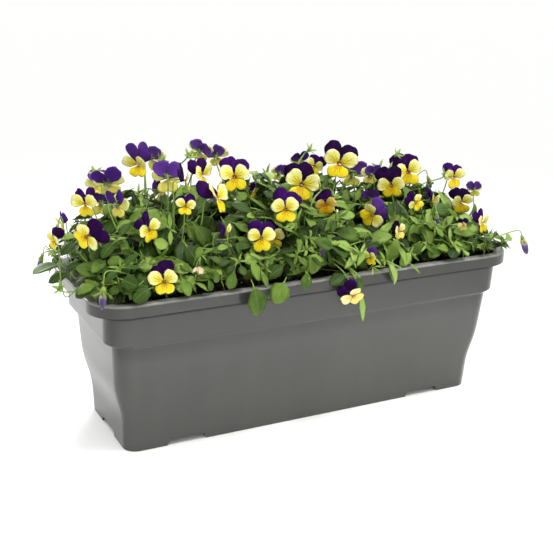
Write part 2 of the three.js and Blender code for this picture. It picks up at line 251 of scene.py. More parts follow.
def around(radius, angle, z=0.0):
    # the point at an angle in degrees round Z
    turn = math.radians(angle)
    return Vector((radius * math.cos(turn), radius * math.sin(turn), z))


def squareTo(vector, axis):
    # the part of a vector at right angles to an axis, as long as one
    return (vector - axis * vector.dot(axis)).normalized()


def turned(first, second, angle):
    # two directions square to one another, turned in their own plane
    return (first * math.cos(angle) + second * math.sin(angle),
            second * math.cos(angle) - first * math.sin(angle))


def towards(turn, pitch):
    # turn 0 faces the front and turns towards +X, pitch looks up
    t, p = math.radians(turn), math.radians(pitch)
    return Vector((math.sin(t) * math.cos(p), -math.cos(t) * math.cos(p), math.sin(p)))


def smoothPath(points, count):
    # a smooth line through a few points, as evenly rounded as the part's own stems
    points = [Vector(point) for point in points]
    line = [points[0] * 2 - points[1], *points, points[-1] * 2 - points[-2]]
    path = []
    for step in range(count + 1):
        place = step / count * (len(points) - 1)
        first = min(int(place), len(points) - 2)
        a, b, c, d = line[first:first + 4]
        tb = max((b - a).length, 1e-6) ** 0.5
        tc = tb + max((c - b).length, 1e-6) ** 0.5
        td = tc + max((d - c).length, 1e-6) ** 0.5
        t = tb + (place - first) * (tc - tb)
        ab = a.lerp(b, t / tb)
        bc = b.lerp(c, (t - tb) / (tc - tb))
        cd = c.lerp(d, (t - tc) / (td - tc))
        abc = ab.lerp(bc, t / tc)
        bcd = bc.lerp(cd, (t - tb) / (td - tb))
        path.append(abc.lerp(bcd, (t - tb) / (tc - tb)))
    return path


# Camera, floor and light

cameraPlace = {
    "location": (-0.49677, -0.96444, 0.49571),
    "yaw": 26.62,
    "pitch": 17.87,
    "roll": 0.97,
    "lens": 65.35,
    "sensor": 36,
}

studio = {
    "floor": "f8f8f6",
    "floorRoughness": 0.7,
    "floorReach": 40,
    "world": "ffffff",
    "worldStrength": 1.06,
    "lights": [
        # name, place, aim, width, height, spread in degrees, power
        ("topLight", (0.2, -0.55, 1.8), (0.05, -0.36, 0.0), 0.5, 0.3, 50, 2.3),
        ("floorBeam", (-0.05, -0.36, 1.9), (-0.05, -0.26, 0.0), 0.8, 0.1, 12, 0.5),
        ("plantLight", (0.1, -1.3, 1.35), (0.0, 0.06, 0.32), 0.9, 0.1, 12, 0.35),
        ("frontLight", (0.0, -1.7, 0.2), (0.0, -0.1, -0.02), 0.9, 0.05, 10, 0.25),
        ("endLight", (-0.5, 1.6, 0.8), (-0.36, 0.14, 0.0), 0.5, 0.5, 50, 1.25),
        ("backLight", (0.5, 1.5, 1.5), (0.1, 0.4, 0.0), 0.6, 0.4, 60, 2.2),
    ],
}


def addCamera(place):
    data = bpy.data.cameras.new("camera")
    data.lens = place["lens"]
    data.sensor_width = place["sensor"]
    camera = newPiece("camera", data)
    yaw, pitch, roll = (math.radians(place[key]) for key in ("yaw", "pitch", "roll"))
    ahead = Vector((math.sin(yaw) * math.cos(pitch), math.cos(yaw) * math.cos(pitch), -math.sin(pitch)))
    right = Vector((math.cos(yaw), -math.sin(yaw), 0))
    facing = Matrix((*turned(right, right.cross(ahead), roll), -ahead)).transposed()
    camera.matrix_world = Matrix.Translation(place["location"]) @ facing.to_4x4()
    bpy.context.scene.camera = camera


def addFloor(values):
    material = newMaterial("paleFloor", {"Roughness": values["floorRoughness"],
                                         "Base Color": tint(values["floor"])})[0]
    reach = values["floorReach"]
    corners = [(-reach, -reach, 0), (reach, -reach, 0), (reach, reach, 0), (-reach, reach, 0)]
    newPiece("floor", meshFrom("floor", corners, [(0, 1, 2, 3)], False), material)


def addLights(values):
    world = bpy.data.worlds.new("studio")
    world.use_nodes = True
    fill(world.node_tree, world.node_tree.nodes["Background"],
         {"Color": tint(values["world"]), "Strength": values["worldStrength"]})
    bpy.context.scene.world = world
    for name, place, aim, width, height, spread, power in values["lights"]:
        data = bpy.data.lights.new(name, "AREA")
        data.shape = "RECTANGLE"
        data.size = width
        data.size_y = height
        data.energy = power
        data.spread = math.radians(spread)
        light = newPiece(name, data)
        light.location = place
        light.rotation_euler = (Vector(aim) - Vector(place)).to_track_quat("-Z", "Y").to_euler()


bpy.context.scene.view_settings.view_transform = "Standard"
addCamera(cameraPlace)
addFloor(studio)
addLights(studio)
print("camera and studio ready")


# Effects that several materials share

def makeMottle():
    # broad patches and fine grain in one value
    group, given, made = newGroup(
        "mottle", "ShaderNodeTree",
        {"Vector": "Vector", "Patch Scale": "Float", "Grain Scale": "Float", "Grain Share": "Float"},
        {"Value": "Float"})
    patch = noiseOf(group, given["Vector"], given["Patch Scale"], 2.0)
    grain = noiseOf(group, given["Vector"], given["Grain Scale"], 4.0, 0.6)
    mixed = addNode(group, "ShaderNodeMix", {0: given["Grain Share"], 2: patch, 3: grain}, data_type="FLOAT")
    fill(group, made, {"Value": mixed.outputs[0]})
    return group


def mottled(tree, place, patchScale, grainScale, grainShare):
    return useGroup(tree, mottle, {"Vector": place, "Patch Scale": patchScale, "Grain Scale": grainScale,
                                   "Grain Share": grainShare})[0]


def makeWhiskers():
    # dark lines that fan out from the throat of a petal, and the patch of deeper colour round it
    group, given, made = newGroup(
        "whiskers", "ShaderNodeTree", {"Lines": "Float", "Reach": "Float", "Thin": "Float"},
        {"Line": "Float", "Patch": "Float"})
    uv = uvOf(group)
    side = times(group, calc(group, "SUBTRACT", partOf(group, uv, 0), 0.5), 2.0)
    along = partOf(group, uv, 1)
    wave = calc(group, "COSINE", times(group, side, given["Lines"]))
    line = smoothRange(group, wave, given["Thin"], 1.0)
    wander = noiseOf(group, uv, 9.0, 2.0)
    reach = times(group, given["Reach"], calc(group, "ADD", wander, 0.5))
    shorter = calc(group, "SUBTRACT", 1.0, times(group, calc(group, "ABSOLUTE", side), 0.55))
    fade = smoothRange(group, calc(group, "DIVIDE", along, times(group, reach, shorter)), 1.0, 0.6)
    fill(group, made, {"Line": times(group, line, fade),
                       "Patch": smoothRange(group, along, times(group, reach, 0.75), 0.08)})
    return group


def makePetalVeins():
    # fine ribs along a petal, for its bump and a slight shade
    group, given, made = newGroup(
        "petalVeins", "ShaderNodeTree", {"Ribs": "Float", "Wander": "Float"}, {"Height": "Float"})
    uv = uvOf(group)
    wander = noiseOf(group, uv, 5.0, 2.0)
    wave = weighted(group, partOf(group, uv, 0), given["Ribs"], wander, given["Wander"])
    fill(group, made, {"Height": rangeOf(group, calc(group, "SINE", wave), -1.0, 1.0)})
    return group


mottle = makeMottle()
whiskers = makeWhiskers()
petalVeins = makePetalVeins()
print("shared effects ready")


# The trough: one moulded wall from the foot to the rolled rim

trough = {
    "height": 172.0,
    "wall": 2.4,
    "rimDrop": 13.6,
    "rimOut": (14.6, 7.2),  # how far the rim stands out of the collar at the ends and along the sides
    "rimCorner": 38,
    "collarTaper": 3.8,
    "collarOut": (8.6, 1.4),  # and the collar out of the body
    "collarCorner": 23.5,
    "floorHeight": 9.0,
    "floorThickness": 3.0,
    "notchHeight": 6.0,
    "notchSpan": (126.0, 171.0),
    "notchSlope": 3.0,
    "endNotch": 22.0,
    "drainRadius": 5.0,
    "drainSpacing": 100.0,
    "bow": 1.1,
    "bowReach": 205,
    "sideFrom": 55,  # points further out than this are on a long side
    "endFrom": 195,  # and these on an end wall
    # the rim top is lighter from wear and a painted highlight, the feet from wear alone
    "rimWearAndHighlight": 0.9,
    "footWear": 0.5,
    "plastic": "333331",
    "plasticLight": "373734",
    # the lighter plastic of wear, of the flow marks and of the painted highlight on the rim top
    "wornAndHighlight": "90908a",
    "rubAndHighlightShare": 0.95,
    "flowShare": 0.01,
    "shade": "080808",
    "gloss": 0.5,
    # bands of painted shade: from, full at, up to, share and gloss
    "shadeBands": ((152.5, 156.0, 159.2, 0.95, 0.2), (122.0, 124.0, 159.2, 0.22, 0.5),
                   (100.0, 120.0, 122.0, 0.45, 0.5)),
}
troughLow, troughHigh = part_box("planter_box")
troughSize = (troughHigh - troughLow) / mm


def ringOf(halfX, halfY, corner, z, cutsX, cutsY):
    # one level of the wall, from the middle of the front round to the right
    arc = 12
    straightX, straightY = halfX - corner, halfY - corner
    alongX = [-straightX, *cutsX, straightX]
    alongY = [-straightY, *cutsY, straightY]
    points = [(x, -halfY) for x in alongX]
    sides = [
        ((straightX, -straightY), -90, [(halfX, y) for y in alongY]),
        ((straightX, straightY), 0, [(x, halfY) for x in reversed(alongX)]),
        ((-straightX, straightY), 90, [(-halfX, y) for y in reversed(alongY)]),
        ((-straightX, -straightY), 180, []),
    ]
    for (x, y), start, side in sides:
        for step in range(1, arc):
            angle = math.radians(start + 90 * step / arc)
            points.append((x + corner * math.cos(angle), y + corner * math.sin(angle)))
        points.extend(side)
    return [Vector((x, y, z)) for x, y in points]


def roundedRows(rows):
    # rows are half length, half width, corner radius, height and how far the edge there is rounded;
    # a point on a small rounding also says how near it is to the edge that rubs
    segments, smallEdge, mostShare = 4, 3, 0.48
    made = []
    for i, row in enumerate(rows):
        here, size = Vector(row[:4]), row[4]
        if size <= 0 or i in (0, len(rows) - 1):
            made.append((here, 0.0))
            continue
        before, after = Vector(rows[i - 1][:4]), Vector(rows[i + 1][:4])
        start = here.lerp(before, min(size / (here - before).length, mostShare))
        end = here.lerp(after, min(size / (here - after).length, mostShare))
        for step in range(segments + 1):
            t = step / segments
            point = start * (1 - t) ** 2 + here * 2 * t * (1 - t) + end * t ** 2
            made.append((point, 1 - abs(2 * t - 1) if size < smallEdge else 0.0))
    return made


def notchLift(x, y, z, values):
    # how the bottom edge rises over the feet between the notches
    limit = values["notchHeight"] + 2
    if z >= limit:
        return z
    low, high = values["notchSpan"]
    share = 0
    if abs(y) > values["sideFrom"]:
        share = min(abs(x) - low, high - abs(x)) / values["notchSlope"]
    elif abs(x) > values["endFrom"]:
        share = (values["endNotch"] - abs(y)) / values["notchSlope"]
    lift = values["notchHeight"] * max(0.0, min(1.0, share))
    return lift + z * (limit - lift) / limit


def troughProfile(values):
    # from under the floor down to the foot, up the outside, over the rim and down the inside
    rimX, rimY, high, wall = troughSize.x / 2, troughSize.y / 2, values["height"], values["wall"]
    rimCorner, collarCorner = values["rimCorner"], values["collarCorner"]
    collarX, collarY = rimX - values["rimOut"][0], rimY - values["rimOut"][1]
    collarFootY = collarY - values["collarTaper"]
    bodyX, bodyY = collarX - values["collarOut"][0], collarFootY - values["collarOut"][1]
    under = values["floorHeight"]
    ledge = high - values["rimDrop"]
    return [
        (212.6, 63.3, 13.1, under, 0),
        (212.6, 62.3, 13.1, 0, 0.7),
        (215.0, 64.7, 15.5, 0, 0.7),
        (215.8, 70.2, 17.5, 38, 12),
        (224.3, 74.9, 19.5, 69, 12),
        (bodyX, bodyY, 21.5, 122.5, 1.2),
        (collarX, collarFootY, collarCorner, 125, 2.2),
        (collarX, collarY, collarCorner, high - wall, 1.0),
        (rimX - wall, rimY - wall, rimCorner - wall, high - wall, 1.0),
        (rimX - wall, rimY - wall, rimCorner - wall, ledge, 0.7),
        (rimX, rimY, rimCorner, ledge, 1.1),
        (rimX, rimY, rimCorner, high - 0.3, 2.4),
        (rimX - 4.2, rimY - 4.0, rimCorner - 3, high, 2.2),
        (collarX - wall + 1, collarY - wall + 1, 22.1, high - 0.2, 1.2),
        (collarX - wall, collarY - wall, 21.1, high - 2.4, 1.0),
        (collarX - wall, collarFootY - wall, 21.1, 126, 1.0),
        (bodyX - wall, bodyY - wall, 19.1, 121.5, 1.0),
        (221.9, 72.5, 17.1, 68, 8),
        (213.4, 67.8, 15.1, 37, 8),
        (212.6, 63.7, 13.1, under + values["floorThickness"], 0),
    ]


def makeTroughMesh(values):
    high = values["height"]
    (near, far), slope = values["notchSpan"], values["notchSlope"]
    halfCuts = (185, far, far - slope, 150, near + slope, near, 95, 65, 35, 0.01)
    cutsX = sorted(side * x for side in (-1, 1) for x in halfCuts)
    cutsY = sorted(side * y for side in (-1, 1) for y in (35, 22, 19, 8))
    points, wear = [], []
    rows = roundedRows(troughProfile(values))
    for row, wornAndHighlight in rows:
        for x, y, z in ringOf(*row, cutsX, cutsY):
            swell = math.cos(math.pi / 2 * min(1.0, abs(x) / values["bowReach"]))
            hang = math.sin(math.pi * (z / high)) ** 0.6 if 0 < z < high else 0.0
            if abs(y) > values["sideFrom"]:
                y += math.copysign(values["bow"] * max(0.0, swell) * hang, y)
            points.append(Vector((x, y, notchLift(x, y, z, values))) * mm)
            # the rim top takes wear and a painted highlight, the feet wear alone
            wear.append(values["rimWearAndHighlight"] if z > high - 2 else wornAndHighlight * values["footWear"] if z < 5 else 0.0)
    count = len(points) // len(rows)
    faces = ringFaces(count, len(rows))
    faces += [tuple(reversed(range(count))), tuple(range(len(points) - count, len(points)))]
    mesh = meshFrom("planterBox", points, faces)
    storeValues(mesh, "wear", wear)
    return mesh


def drillHoles(piece, values):
    # the drain holes through the floor
    maker = bmesh.new()
    radius = values["drainRadius"] * mm
    for i in (-1.5, -0.5, 0.5, 1.5):
        place = Matrix.Translation((i * values["drainSpacing"] * mm, 0, values["floorHeight"] * mm))
        bmesh.ops.create_cone(maker, cap_ends=True, segments=24, radius1=radius, radius2=radius, depth=0.02,
                              matrix=place)
    drills = newPiece("drills", meshOf("drills", maker))
    cut = piece.modifiers.new("drill", "BOOLEAN")
    cut.operation = "DIFFERENCE"
    cut.object = drills
    cut.solver = "EXACT"
    piece.modifiers.new("flatter", "WEIGHTED_NORMAL").keep_sharp = True
    applyModifiers(piece)
    bpy.data.objects.remove(drills)


def makePlastic(values):
    material, tree, shader = newMaterial("greyPlastic", {"IOR": 1.49, "Specular IOR Level": values["gloss"]})
    place = objectPlace(tree)
    colour = rampOf(tree, mottled(tree, place, 7.0, 900.0, 0.3),
                    [(0.3, values["plastic"]), (0.7, values["plasticLight"])])
    # flow marks from the mould run up the wall; handling rubs the feet lighter, and the rim top is lighter
    # from wear and a painted highlight
    stretched = addNode(tree, "ShaderNodeMapping", {"Vector": place, "Scale": (34, 34, 2.0)}).outputs[0]
    flow = smoothRange(tree, noiseOf(tree, stretched, 1.0), 0.35, 0.75)
    rubAndHighlight = times(tree, attributeOf(tree, "wear"), rangeOf(tree, noiseOf(tree, place, 60.0), 0.3, 0.7, 0.4))
    colour = layColours(tree, colour, [(flow, values["flowShare"], values["wornAndHighlight"]),
                                       (rubAndHighlight, values["rubAndHighlightShare"], values["wornAndHighlight"])])
    # painted shade: the wall is darker right under the rim, on the collar and under the collar, and right
    # under the rim it also reflects less
    height = partOf(tree, place, 2)
    for low, full, high, share, gloss in values["shadeBands"]:
        mask = times(tree, smoothRange(tree, height, low * mm, full * mm, 0, share),
                     calc(tree, "LESS_THAN", height, high * mm))
        colour = mixColour(tree, mask, colour, values["shade"])
        if gloss < values["gloss"]:
            fill(tree, shader, {"Specular IOR Level": rangeOf(tree, mask, 0, share, values["gloss"], gloss)})
    smear = rangeOf(tree, noiseOf(tree, place, 16.0, 4.0), 0.25, 0.8, 0.2, 0.26)
    fill(tree, shader, {"Base Color": colour, "Roughness": smear,
                        "Normal": bumpOf(tree, noiseOf(tree, place, 900.0, 1.0), 0.04, 0.0002)})
    return material


planterBox = newPiece("planterBox", makeTroughMesh(trough), makePlastic(trough))
drillHoles(planterBox, trough)
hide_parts("planter_box")
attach(planterBox, "root")
print("trough made:", len(planterBox.data.polygons), "faces")


# Potting soil: a rough crowned bed with crumbs, bark and perlite

soil = {
    "rings": 26,
    "crown": 5.0,
    "bump": 2.2,
    "lumps": 9.0,
    "topFrom": 0.13,
    "crumbs": 5200,
    "crumbSize": (0.7, 2.6),
    "crumbShapes": [(1, (1.0, 0.8, 0.6), 0.9), (4, (1.5, 0.6, 0.4), 0.7), (7, (0.9, 0.9, 0.8), 1.0),
                    (9, (2.2, 0.5, 0.35), 0.5)],  # seed, stretch and roughness
    "perlite": 260,
    "perliteSize": 0.6,
    "bedArea": 0.466 * 0.17,
    "earthTones": [(0.2, "21160f"), (0.62, "4a3424"), (0.95, "7b6a55")],
    "perliteTones": [(0.1, "b3ab9a"), (0.6, "d9d5cb")],
    "seed": 5,
}


def makeSoilMesh(values):
    low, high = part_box("potting_soil")
    halfX, halfY = (high.x - low.x) / 2 / mm, (high.y - low.y) / 2 / mm
    top = high.z / mm
    cuts = range(-195, 196, 15), range(-45, 46, 15)
    levels = [(212.3, 63.4, 12.8, low.z / mm), (213.1, 67.5, 14.8, 37), (221.6, 72.2, 16.8, 68),
              (224.1, 79.9, 18.8, 121.5), (halfX, halfY - 3, 20, 127.5), (halfX, halfY - 1, 20, top - 6)]
    points = [point for level in levels for point in ringOf(*level, *cuts)]
    count = len(points) // len(levels)
    edge = points[-count:]
    for level in range(1, values["rings"]):
        share = level / values["rings"]
        for point in edge:
            x, y = point.x * (1 - share), point.y * (1 - share)
            rise = top - values["crown"] + values["crown"] * math.sin(math.pi / 2 * share)
            rough = noise.fractal(Vector((x, y, 3)) / values["lumps"], 0.9, 2.1, 4) * values["bump"]
            points.append(Vector((x, y, rise - 1.5 + rough)))
    last = len(points) - count
    points.append(Vector((0, 0, top)))
    faces = ringFaces(count, len(points) // count)
    faces += [(last + i, last + (i + 1) % count, last + count) for i in range(count)]
    faces.append(tuple(reversed(range(count))))
    return meshFrom("pottingSoil", [point * mm for point in points], faces)


def makeCrumb(name, seed, stretch, rough):
    maker = bmesh.new()
    bmesh.ops.create_icosphere(maker, subdivisions=1, radius=1.0)
    for vertex in maker.verts:
        vertex.co *= 1 + rough * noise.noise(vertex.co * 1.7 + Vector((seed, 2 * seed, 0)))
        vertex.co *= Vector(stretch)
    return newPiece(name, meshOf(name, maker))


def copiesOn(tree, points, shapes, turn, size, **chosen):
    # a shape of a collection on every point
    shapes = addNode(tree, "GeometryNodeCollectionInfo", {0: shapes, 1: True, 2: True})
    turn = addNode(tree, "FunctionNodeEulerToRotation", {0: turn})
    return addNode(tree, "GeometryNodeInstanceOnPoints", {
        "Points": points, "Instance": shapes.outputs[0], "Pick Instance": True, "Rotation": turn.outputs[0],
        "Scale": size, **chosen}).outputs[0]


def finishTree(tree, geometry, given, made, joined=True):
    # ends in real geometry with its material, joined to what the piece already holds
    real = addNode(tree, "GeometryNodeRealizeInstances", {0: geometry})
    result = addNode(tree, "GeometryNodeSetMaterial", {0: real.outputs[0], 2: given["Finish"]})
    if joined:
        result = addNode(tree, "GeometryNodeJoinGeometry", {0: result.outputs[0]})
        fill(tree, result, {0: given["Geometry"]})
    fill(tree, made, {0: result.outputs[0]})
    return tree


def scatterTree(values):
    # crumbs on the faces that look up, each turned and sized at random
    tree, given, made = newGroup(
        "scatterCrumbs", "GeometryNodeTree",
        {"Geometry": "Geometry", "Crumbs": "Collection", "Density": "Float", "Smallest": "Float",
         "Largest": "Float", "Seed": "Int", "Finish": "Material"}, {"Geometry": "Geometry"})
    upward = partOf(tree, addNode(tree, "GeometryNodeInputNormal").outputs[0], 2)
    height = partOf(tree, addNode(tree, "GeometryNodeInputPosition").outputs[0], 2)
    above = [addNode(tree, "FunctionNodeCompare", {0: value, 1: least}, operation="GREATER_THAN").outputs[0]
             for value, least in ((upward, 0.3), (height, values["topFrom"]))]
    onTop = addNode(tree, "FunctionNodeBooleanMath", dict(enumerate(above))).outputs[0]
    scatter = addNode(tree, "GeometryNodeDistributePointsOnFaces", {
        "Mesh": given["Geometry"], "Selection": onTop, "Density": given["Density"], "Seed": given["Seed"]})
    spin = addNode(tree, "FunctionNodeRandomValue", {"Seed": given["Seed"]}, data_type="FLOAT_VECTOR")
    spin.inputs[1].default_value = (6.28, 6.28, 6.28)
    size = addNode(tree, "FunctionNodeRandomValue",
                   {2: given["Smallest"], 3: given["Largest"], "Seed": given["Seed"]}).outputs[1]
    tone = addNode(tree, "FunctionNodeRandomValue", {"Seed": 3}).outputs[1]
    toned = addNode(tree, "GeometryNodeStoreNamedAttribute",
                    {"Geometry": scatter.outputs["Points"], "Name": "tone", "Value": tone})
    placed = copiesOn(tree, toned.outputs[0], given["Crumbs"], spin.outputs[0], size)
    return finishTree(tree, placed, given, made)


def makeSoilMaterial(name, tones):
    material, tree, shader = newMaterial(name, {"Roughness": 0.92, "Specular IOR Level": 0.25})
    place = objectPlace(tree)
    tone = weighted(tree, attributeOf(tree, "tone"), 0.6, mottled(tree, place, 45.0, 420.0, 0.55), 0.5)
    fill(tree, shader, {"Base Color": rampOf(tree, tone, tones),
                        "Normal": bumpOf(tree, noiseOf(tree, place, 700.0, 4.0), 0.8, 0.001)})
    return material


earth = makeSoilMaterial("dampSoil", soil["earthTones"])
perlite = makeSoilMaterial("perlite", soil["perliteTones"])
pottingSoil = newPiece("pottingSoil", makeSoilMesh(soil), earth)
crumbShapes = makeCollection("crumbShapes", [makeCrumb(f"crumb{i}", *shape)
                                             for i, shape in enumerate(soil["crumbShapes"])])
scatterCrumbs = scatterTree(soil)
smallest, largest = (size * mm for size in soil["crumbSize"])
kinds = ((earth, soil["crumbs"], largest), (perlite, soil["perlite"], largest * soil["perliteSize"]))
for i, (finish, amount, biggest) in enumerate(kinds):
    addTree(pottingSoil, scatterCrumbs, {
        "Crumbs": crumbShapes, "Density": amount / soil["bedArea"], "Smallest": smallest,
        "Largest": biggest, "Seed": soil["seed"] + i, "Finish": finish})
applyModifiers(pottingSoil)
dropCollection(crumbShapes)
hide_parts("potting_soil")
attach(pottingSoil, "root")
print("soil made:", len(pottingSoil.data.polygons), "faces")


# Where every flower sits: its CAD solid gives the middle of its face, its way and its size

flowerPlan = {
    "depth": 8.5,  # from the calyx to the front of the throat, on a flower of size 1
    "sink": 1.5,  # and from there back to the middle of the face
}
# flowers that differ from the rest: sway turns the whole face in its own plane, lean only the upper petals,
# turned and nodded face it right and down, ears narrows the upper petals,
# closed, warm, pale and light go from 0 to about 1
oddFlowers = {
    "viola_1_flower_1": {"ears": 0.7},
    "viola_1_flower_10": {"sway": 12, "turned": 48, "nodded": 8},
    "viola_1_flower_11": {"turned": 42, "lean": -10, "ears": 0.7},
    "viola_1_flower_12": {"sway": -8, "lean": -20},
    "viola_1_flower_13": {"closed": 1.1, "pale": 1.0},
    "viola_2_flower_1": {"lean": 12},
    "viola_2_flower_3": {"lean": 14},
    "viola_2_flower_4": {"sway": 8, "lean": -14},
    "viola_2_flower_5": {"warm": 1.0},
    "viola_2_flower_7": {"lean": 8},
    "viola_2_flower_9": {"turned": -48, "light": 0.5},
    "viola_2_flower_10": {"pale": 0.4},
    "viola_3_flower_3": {"closed": 0.2},
    "viola_3_flower_5": {"nodded": 42, "light": 0.8},
    "viola_3_flower_6": {"turned": 45, "pale": 0.3},
    "viola_3_flower_9": {"pale": 0.4, "closed": 0.35},
    "viola_4_flower_2": {"light": 0.6, "lean": 6, "closed": 0.15},
    "viola_4_flower_4": {"light": 0.9},
}


def readFlower(node):
    # the solid is a fan of faces round its throat and round its calyx, which have the most edges
    maker = bmesh.new()
    maker.from_mesh(frame["nodes"][node].data)
    bmesh.ops.remove_doubles(maker, verts=maker.verts, dist=1e-6)
    hubs = sorted(maker.verts, key=lambda vertex: -len(vertex.link_edges))[:2]
    rim = [vertex.co.copy() for vertex in maker.verts if vertex not in hubs]
    middle = sum(rim, Vector()) / len(rim)
    throat, calyx = sorted((hub.co.copy() for hub in hubs), key=lambda point: (point - middle).length)
    maker.free()
    out = (throat - calyx).normalized()
    lowest = max(rim, key=lambda point: (point - throat).dot(out))
    up = -squareTo(lowest - throat, out)
    size = (throat - calyx).length / (flowerPlan["depth"] * mm)
    return {"middle": throat - out * flowerPlan["sink"] * size * mm, "out": out, "up": up,
            "right": up.cross(out), "size": size, "calyx": calyx}


def turnFlower(flower, style):
    # faces a flower another way about the front of its throat
    size = flower["size"] * mm
    front = flower["middle"] + flower["out"] * flowerPlan["sink"] * size
    spin = Quaternion(flower["up"], math.radians(style.get("turned", 0)))
    spin = Quaternion(spin @ flower["right"], math.radians(style.get("nodded", 0))) @ spin
    for way in ("out", "up", "right"):
        flower[way] = spin @ flower[way]
    flower["middle"] = front - flower["out"] * flowerPlan["sink"] * size
    flower["calyx"] = front - flower["out"] * flowerPlan["depth"] * size
    return flower


flowerNodes = sorted((name for name in frame["nodes"] if "_flower_" in name),
                     key=lambda name: [int(part) for part in name.split("_") if part.isdigit()])
flowers = {node: turnFlower(readFlower(node), oddFlowers.get(node, {})) for node in flowerNodes}
print("flowers read:", len(flowers))


# Petals

petalShapes = {
    # angle from the top, half spread and reach of the blade from its middle to its edge,
    # how far it stands out of the face at the throat and at the tip, how much it bulges,
    # and between which angles it tilts forward
    "upper": {"angle": 30, "spread": 41, "reach": (22.4, 22.3, 21.9, 20.8, 18.8, 15.4, 10.4),
              "base": -0.9, "tip": -4.2, "bulge": 0.9, "tilt": (-14, 0)},
    "side": {"angle": 60, "spread": 46, "reach": (16.9, 17.0, 16.8, 16.1, 14.8, 12.7, 9.4),
             "base": 0.5, "tip": 2.2, "bulge": 1.0, "tilt": (2, 14)},
    "lower": {"angle": 180, "spread": 70, "reach": (11.6, 13.8, 15.0, 15.1, 14.2, 12.4, 9.6),
              "base": 0.5, "tip": 1.6, "bulge": 1.2, "tilt": (-8, 6)},
}
petals = {
    "across": 12,
    "along": 7,
    "thickness": 0.45,
    "throatDrop": 2.6,
    "funnel": 3.4,
    "funnelTo": 0.2,
    "edgeWaves": ((0.03, 5, 1), (0.015, 13, 2)),  # size, rate across the petal and shift with its phase
    "ripples": ((0.6, 5, 1), (0.5, 11, 2.3)),
    "overlap": (0.7, 0.9),  # how far one upper petal lies behind the other at the throat and at the tip
    "sway": 15,
    "lean": 7,
    "turn": 7,
    "stretch": (0.88, 1.07),
    "wave": (0.4, 1.2),
    "twist": 16,
    "closedTilt": 62,
    "closedNarrow": 0.35,
    # how far the spur and the knob in the throat sit behind the face, their way, radius, length and material
    "balls": [(3.4, -1, 1.3, 4.6, 0), (1.6, 1, 0.6, 1.8, 3)],
}
petalColours = {
    "purple": "2a0640",
    "purpleDark": "150322",
    "velvet": "40126a",
    "violet": "4c267e",
    "lilac": "6a459c",
    "purpleFoot": "b9a6cf",
    "purpleFaded": "cdbd9c",
    "yellow": "e4cc0e",
    "yellowRib": "c8a80a",
    "yellowWarm": "f6b840",
    "yellowFaded": "e6d4b4",
    "yellowBack": "c4cc80",
    "throat": "c98a04",
    "whisker": "2c1206",
    "knob": ("b8c850", "e8d88a"),
    "budFoot": "c9c27a",
}
yellowPetals = {
    # body, edge, whiskers and their reach, where the edge's colour starts, depth of the throat's patch
    "violaCream": ("d8d45a", "e4e0a4", 17.0, 0.75, 0.5, 0.3),
    "violaYellow": ("e4cc0e", "e6d848", 24.0, 0.7, 0.75, 0.8),
}


def waves(rows, u, phase):
    return sum(size * math.sin(rate * u + shift * phase) for size, rate, shift in rows)


def petalPoint(shape, u, v, wave, phase):
    # u from -1 to 1 across the fan, v from 0 to 1 along: sideways, along and out of the face, in millimetres
    reaches = shape["reach"]
    place = abs(u) * (len(reaches) - 1)
    first = min(int(place), len(reaches) - 2)
    reach = reaches[first] + (reaches[first + 1] - reaches[first]) * (place - first)
    far = reach * (1 + waves(petals["edgeWaves"], u, phase)) * v
    turn = math.radians(shape["spread"] * u)
    lean = shape["base"] + (shape["tip"] - shape["base"]) * v * v
    funnel = petals["funnel"] * max(0.0, 1 - v / petals["funnelTo"]) ** 2
    bulge = shape["bulge"] * math.sin(math.pi * v) * (1 - u * u)
    ripple = wave * v ** 3 * waves(petals["ripples"], u, phase)
    return far * math.sin(turn), far * math.cos(turn), lean - funnel + bulge + ripple


def addFace(maker, corners, slot):
    face = maker.faces.new(corners)
    face.material_index = slot
    face.smooth = True
    return face


def addPetal(maker, layer, flower, throat, shape, side, slot, style, draw):
    across, along = petals["across"], petals["along"]
    size = flower["size"] * mm
    closed = style["closed"]
    turn = draw.uniform(-petals["turn"], petals["turn"])
    angle = math.radians(side * shape["angle"] + style["sway"] + turn)
    stretch = draw.uniform(*petals["stretch"])
    phase = draw.uniform(0, 6.28)
    wave = draw.uniform(*petals["wave"])
    forward = math.radians(closed * petals["closedTilt"] + draw.uniform(*shape["tilt"]))
    twist = math.radians(draw.uniform(-petals["twist"], petals["twist"])) * (1 - min(1.0, closed))
    heading, beside = turned(flower["up"], flower["right"], angle)
    ahead, outward = turned(heading, flower["out"], forward)
    beside, outward = turned(beside, outward, twist)
    start = throat + heading * 0.4 * size
    narrow = 1 - petals["closedNarrow"] * closed

    def spot(u, v, sink):
        x, y, z = petalPoint(shape, u, 0.05 + 0.95 * v, wave, phase)
        return start + (beside * x * narrow + ahead * y * stretch + outward * (z - sink)) * size

    front, back = {}, {}
    for j in range(along + 1):
        for i in range(across + 1):
            u, v = 2 * i / across - 1, j / along
            front[i, j] = maker.verts.new(spot(u, v, 0))
            rimmed = i in (0, across) or j in (0, along)
            back[i, j] = front[i, j] if rimmed else maker.verts.new(spot(u, v, petals["thickness"]))
    for j in range(along):
        for i in range(across):
            corners = [(i, j), (i + 1, j), (i + 1, j + 1), (i, j + 1)]
            for sheet, order, mark in ((front, corners, 0.0), (back, corners[::-1], 1.0)):
                face = addFace(maker, [sheet[corner] for corner in order], slot)
                for loop, (a, b) in zip(face.loops, order):
                    loop[layer["uv"]].uv = (a / across, b / along)
                face[layer["back"]] = max(mark, style["light"]) if slot == 0 else mark


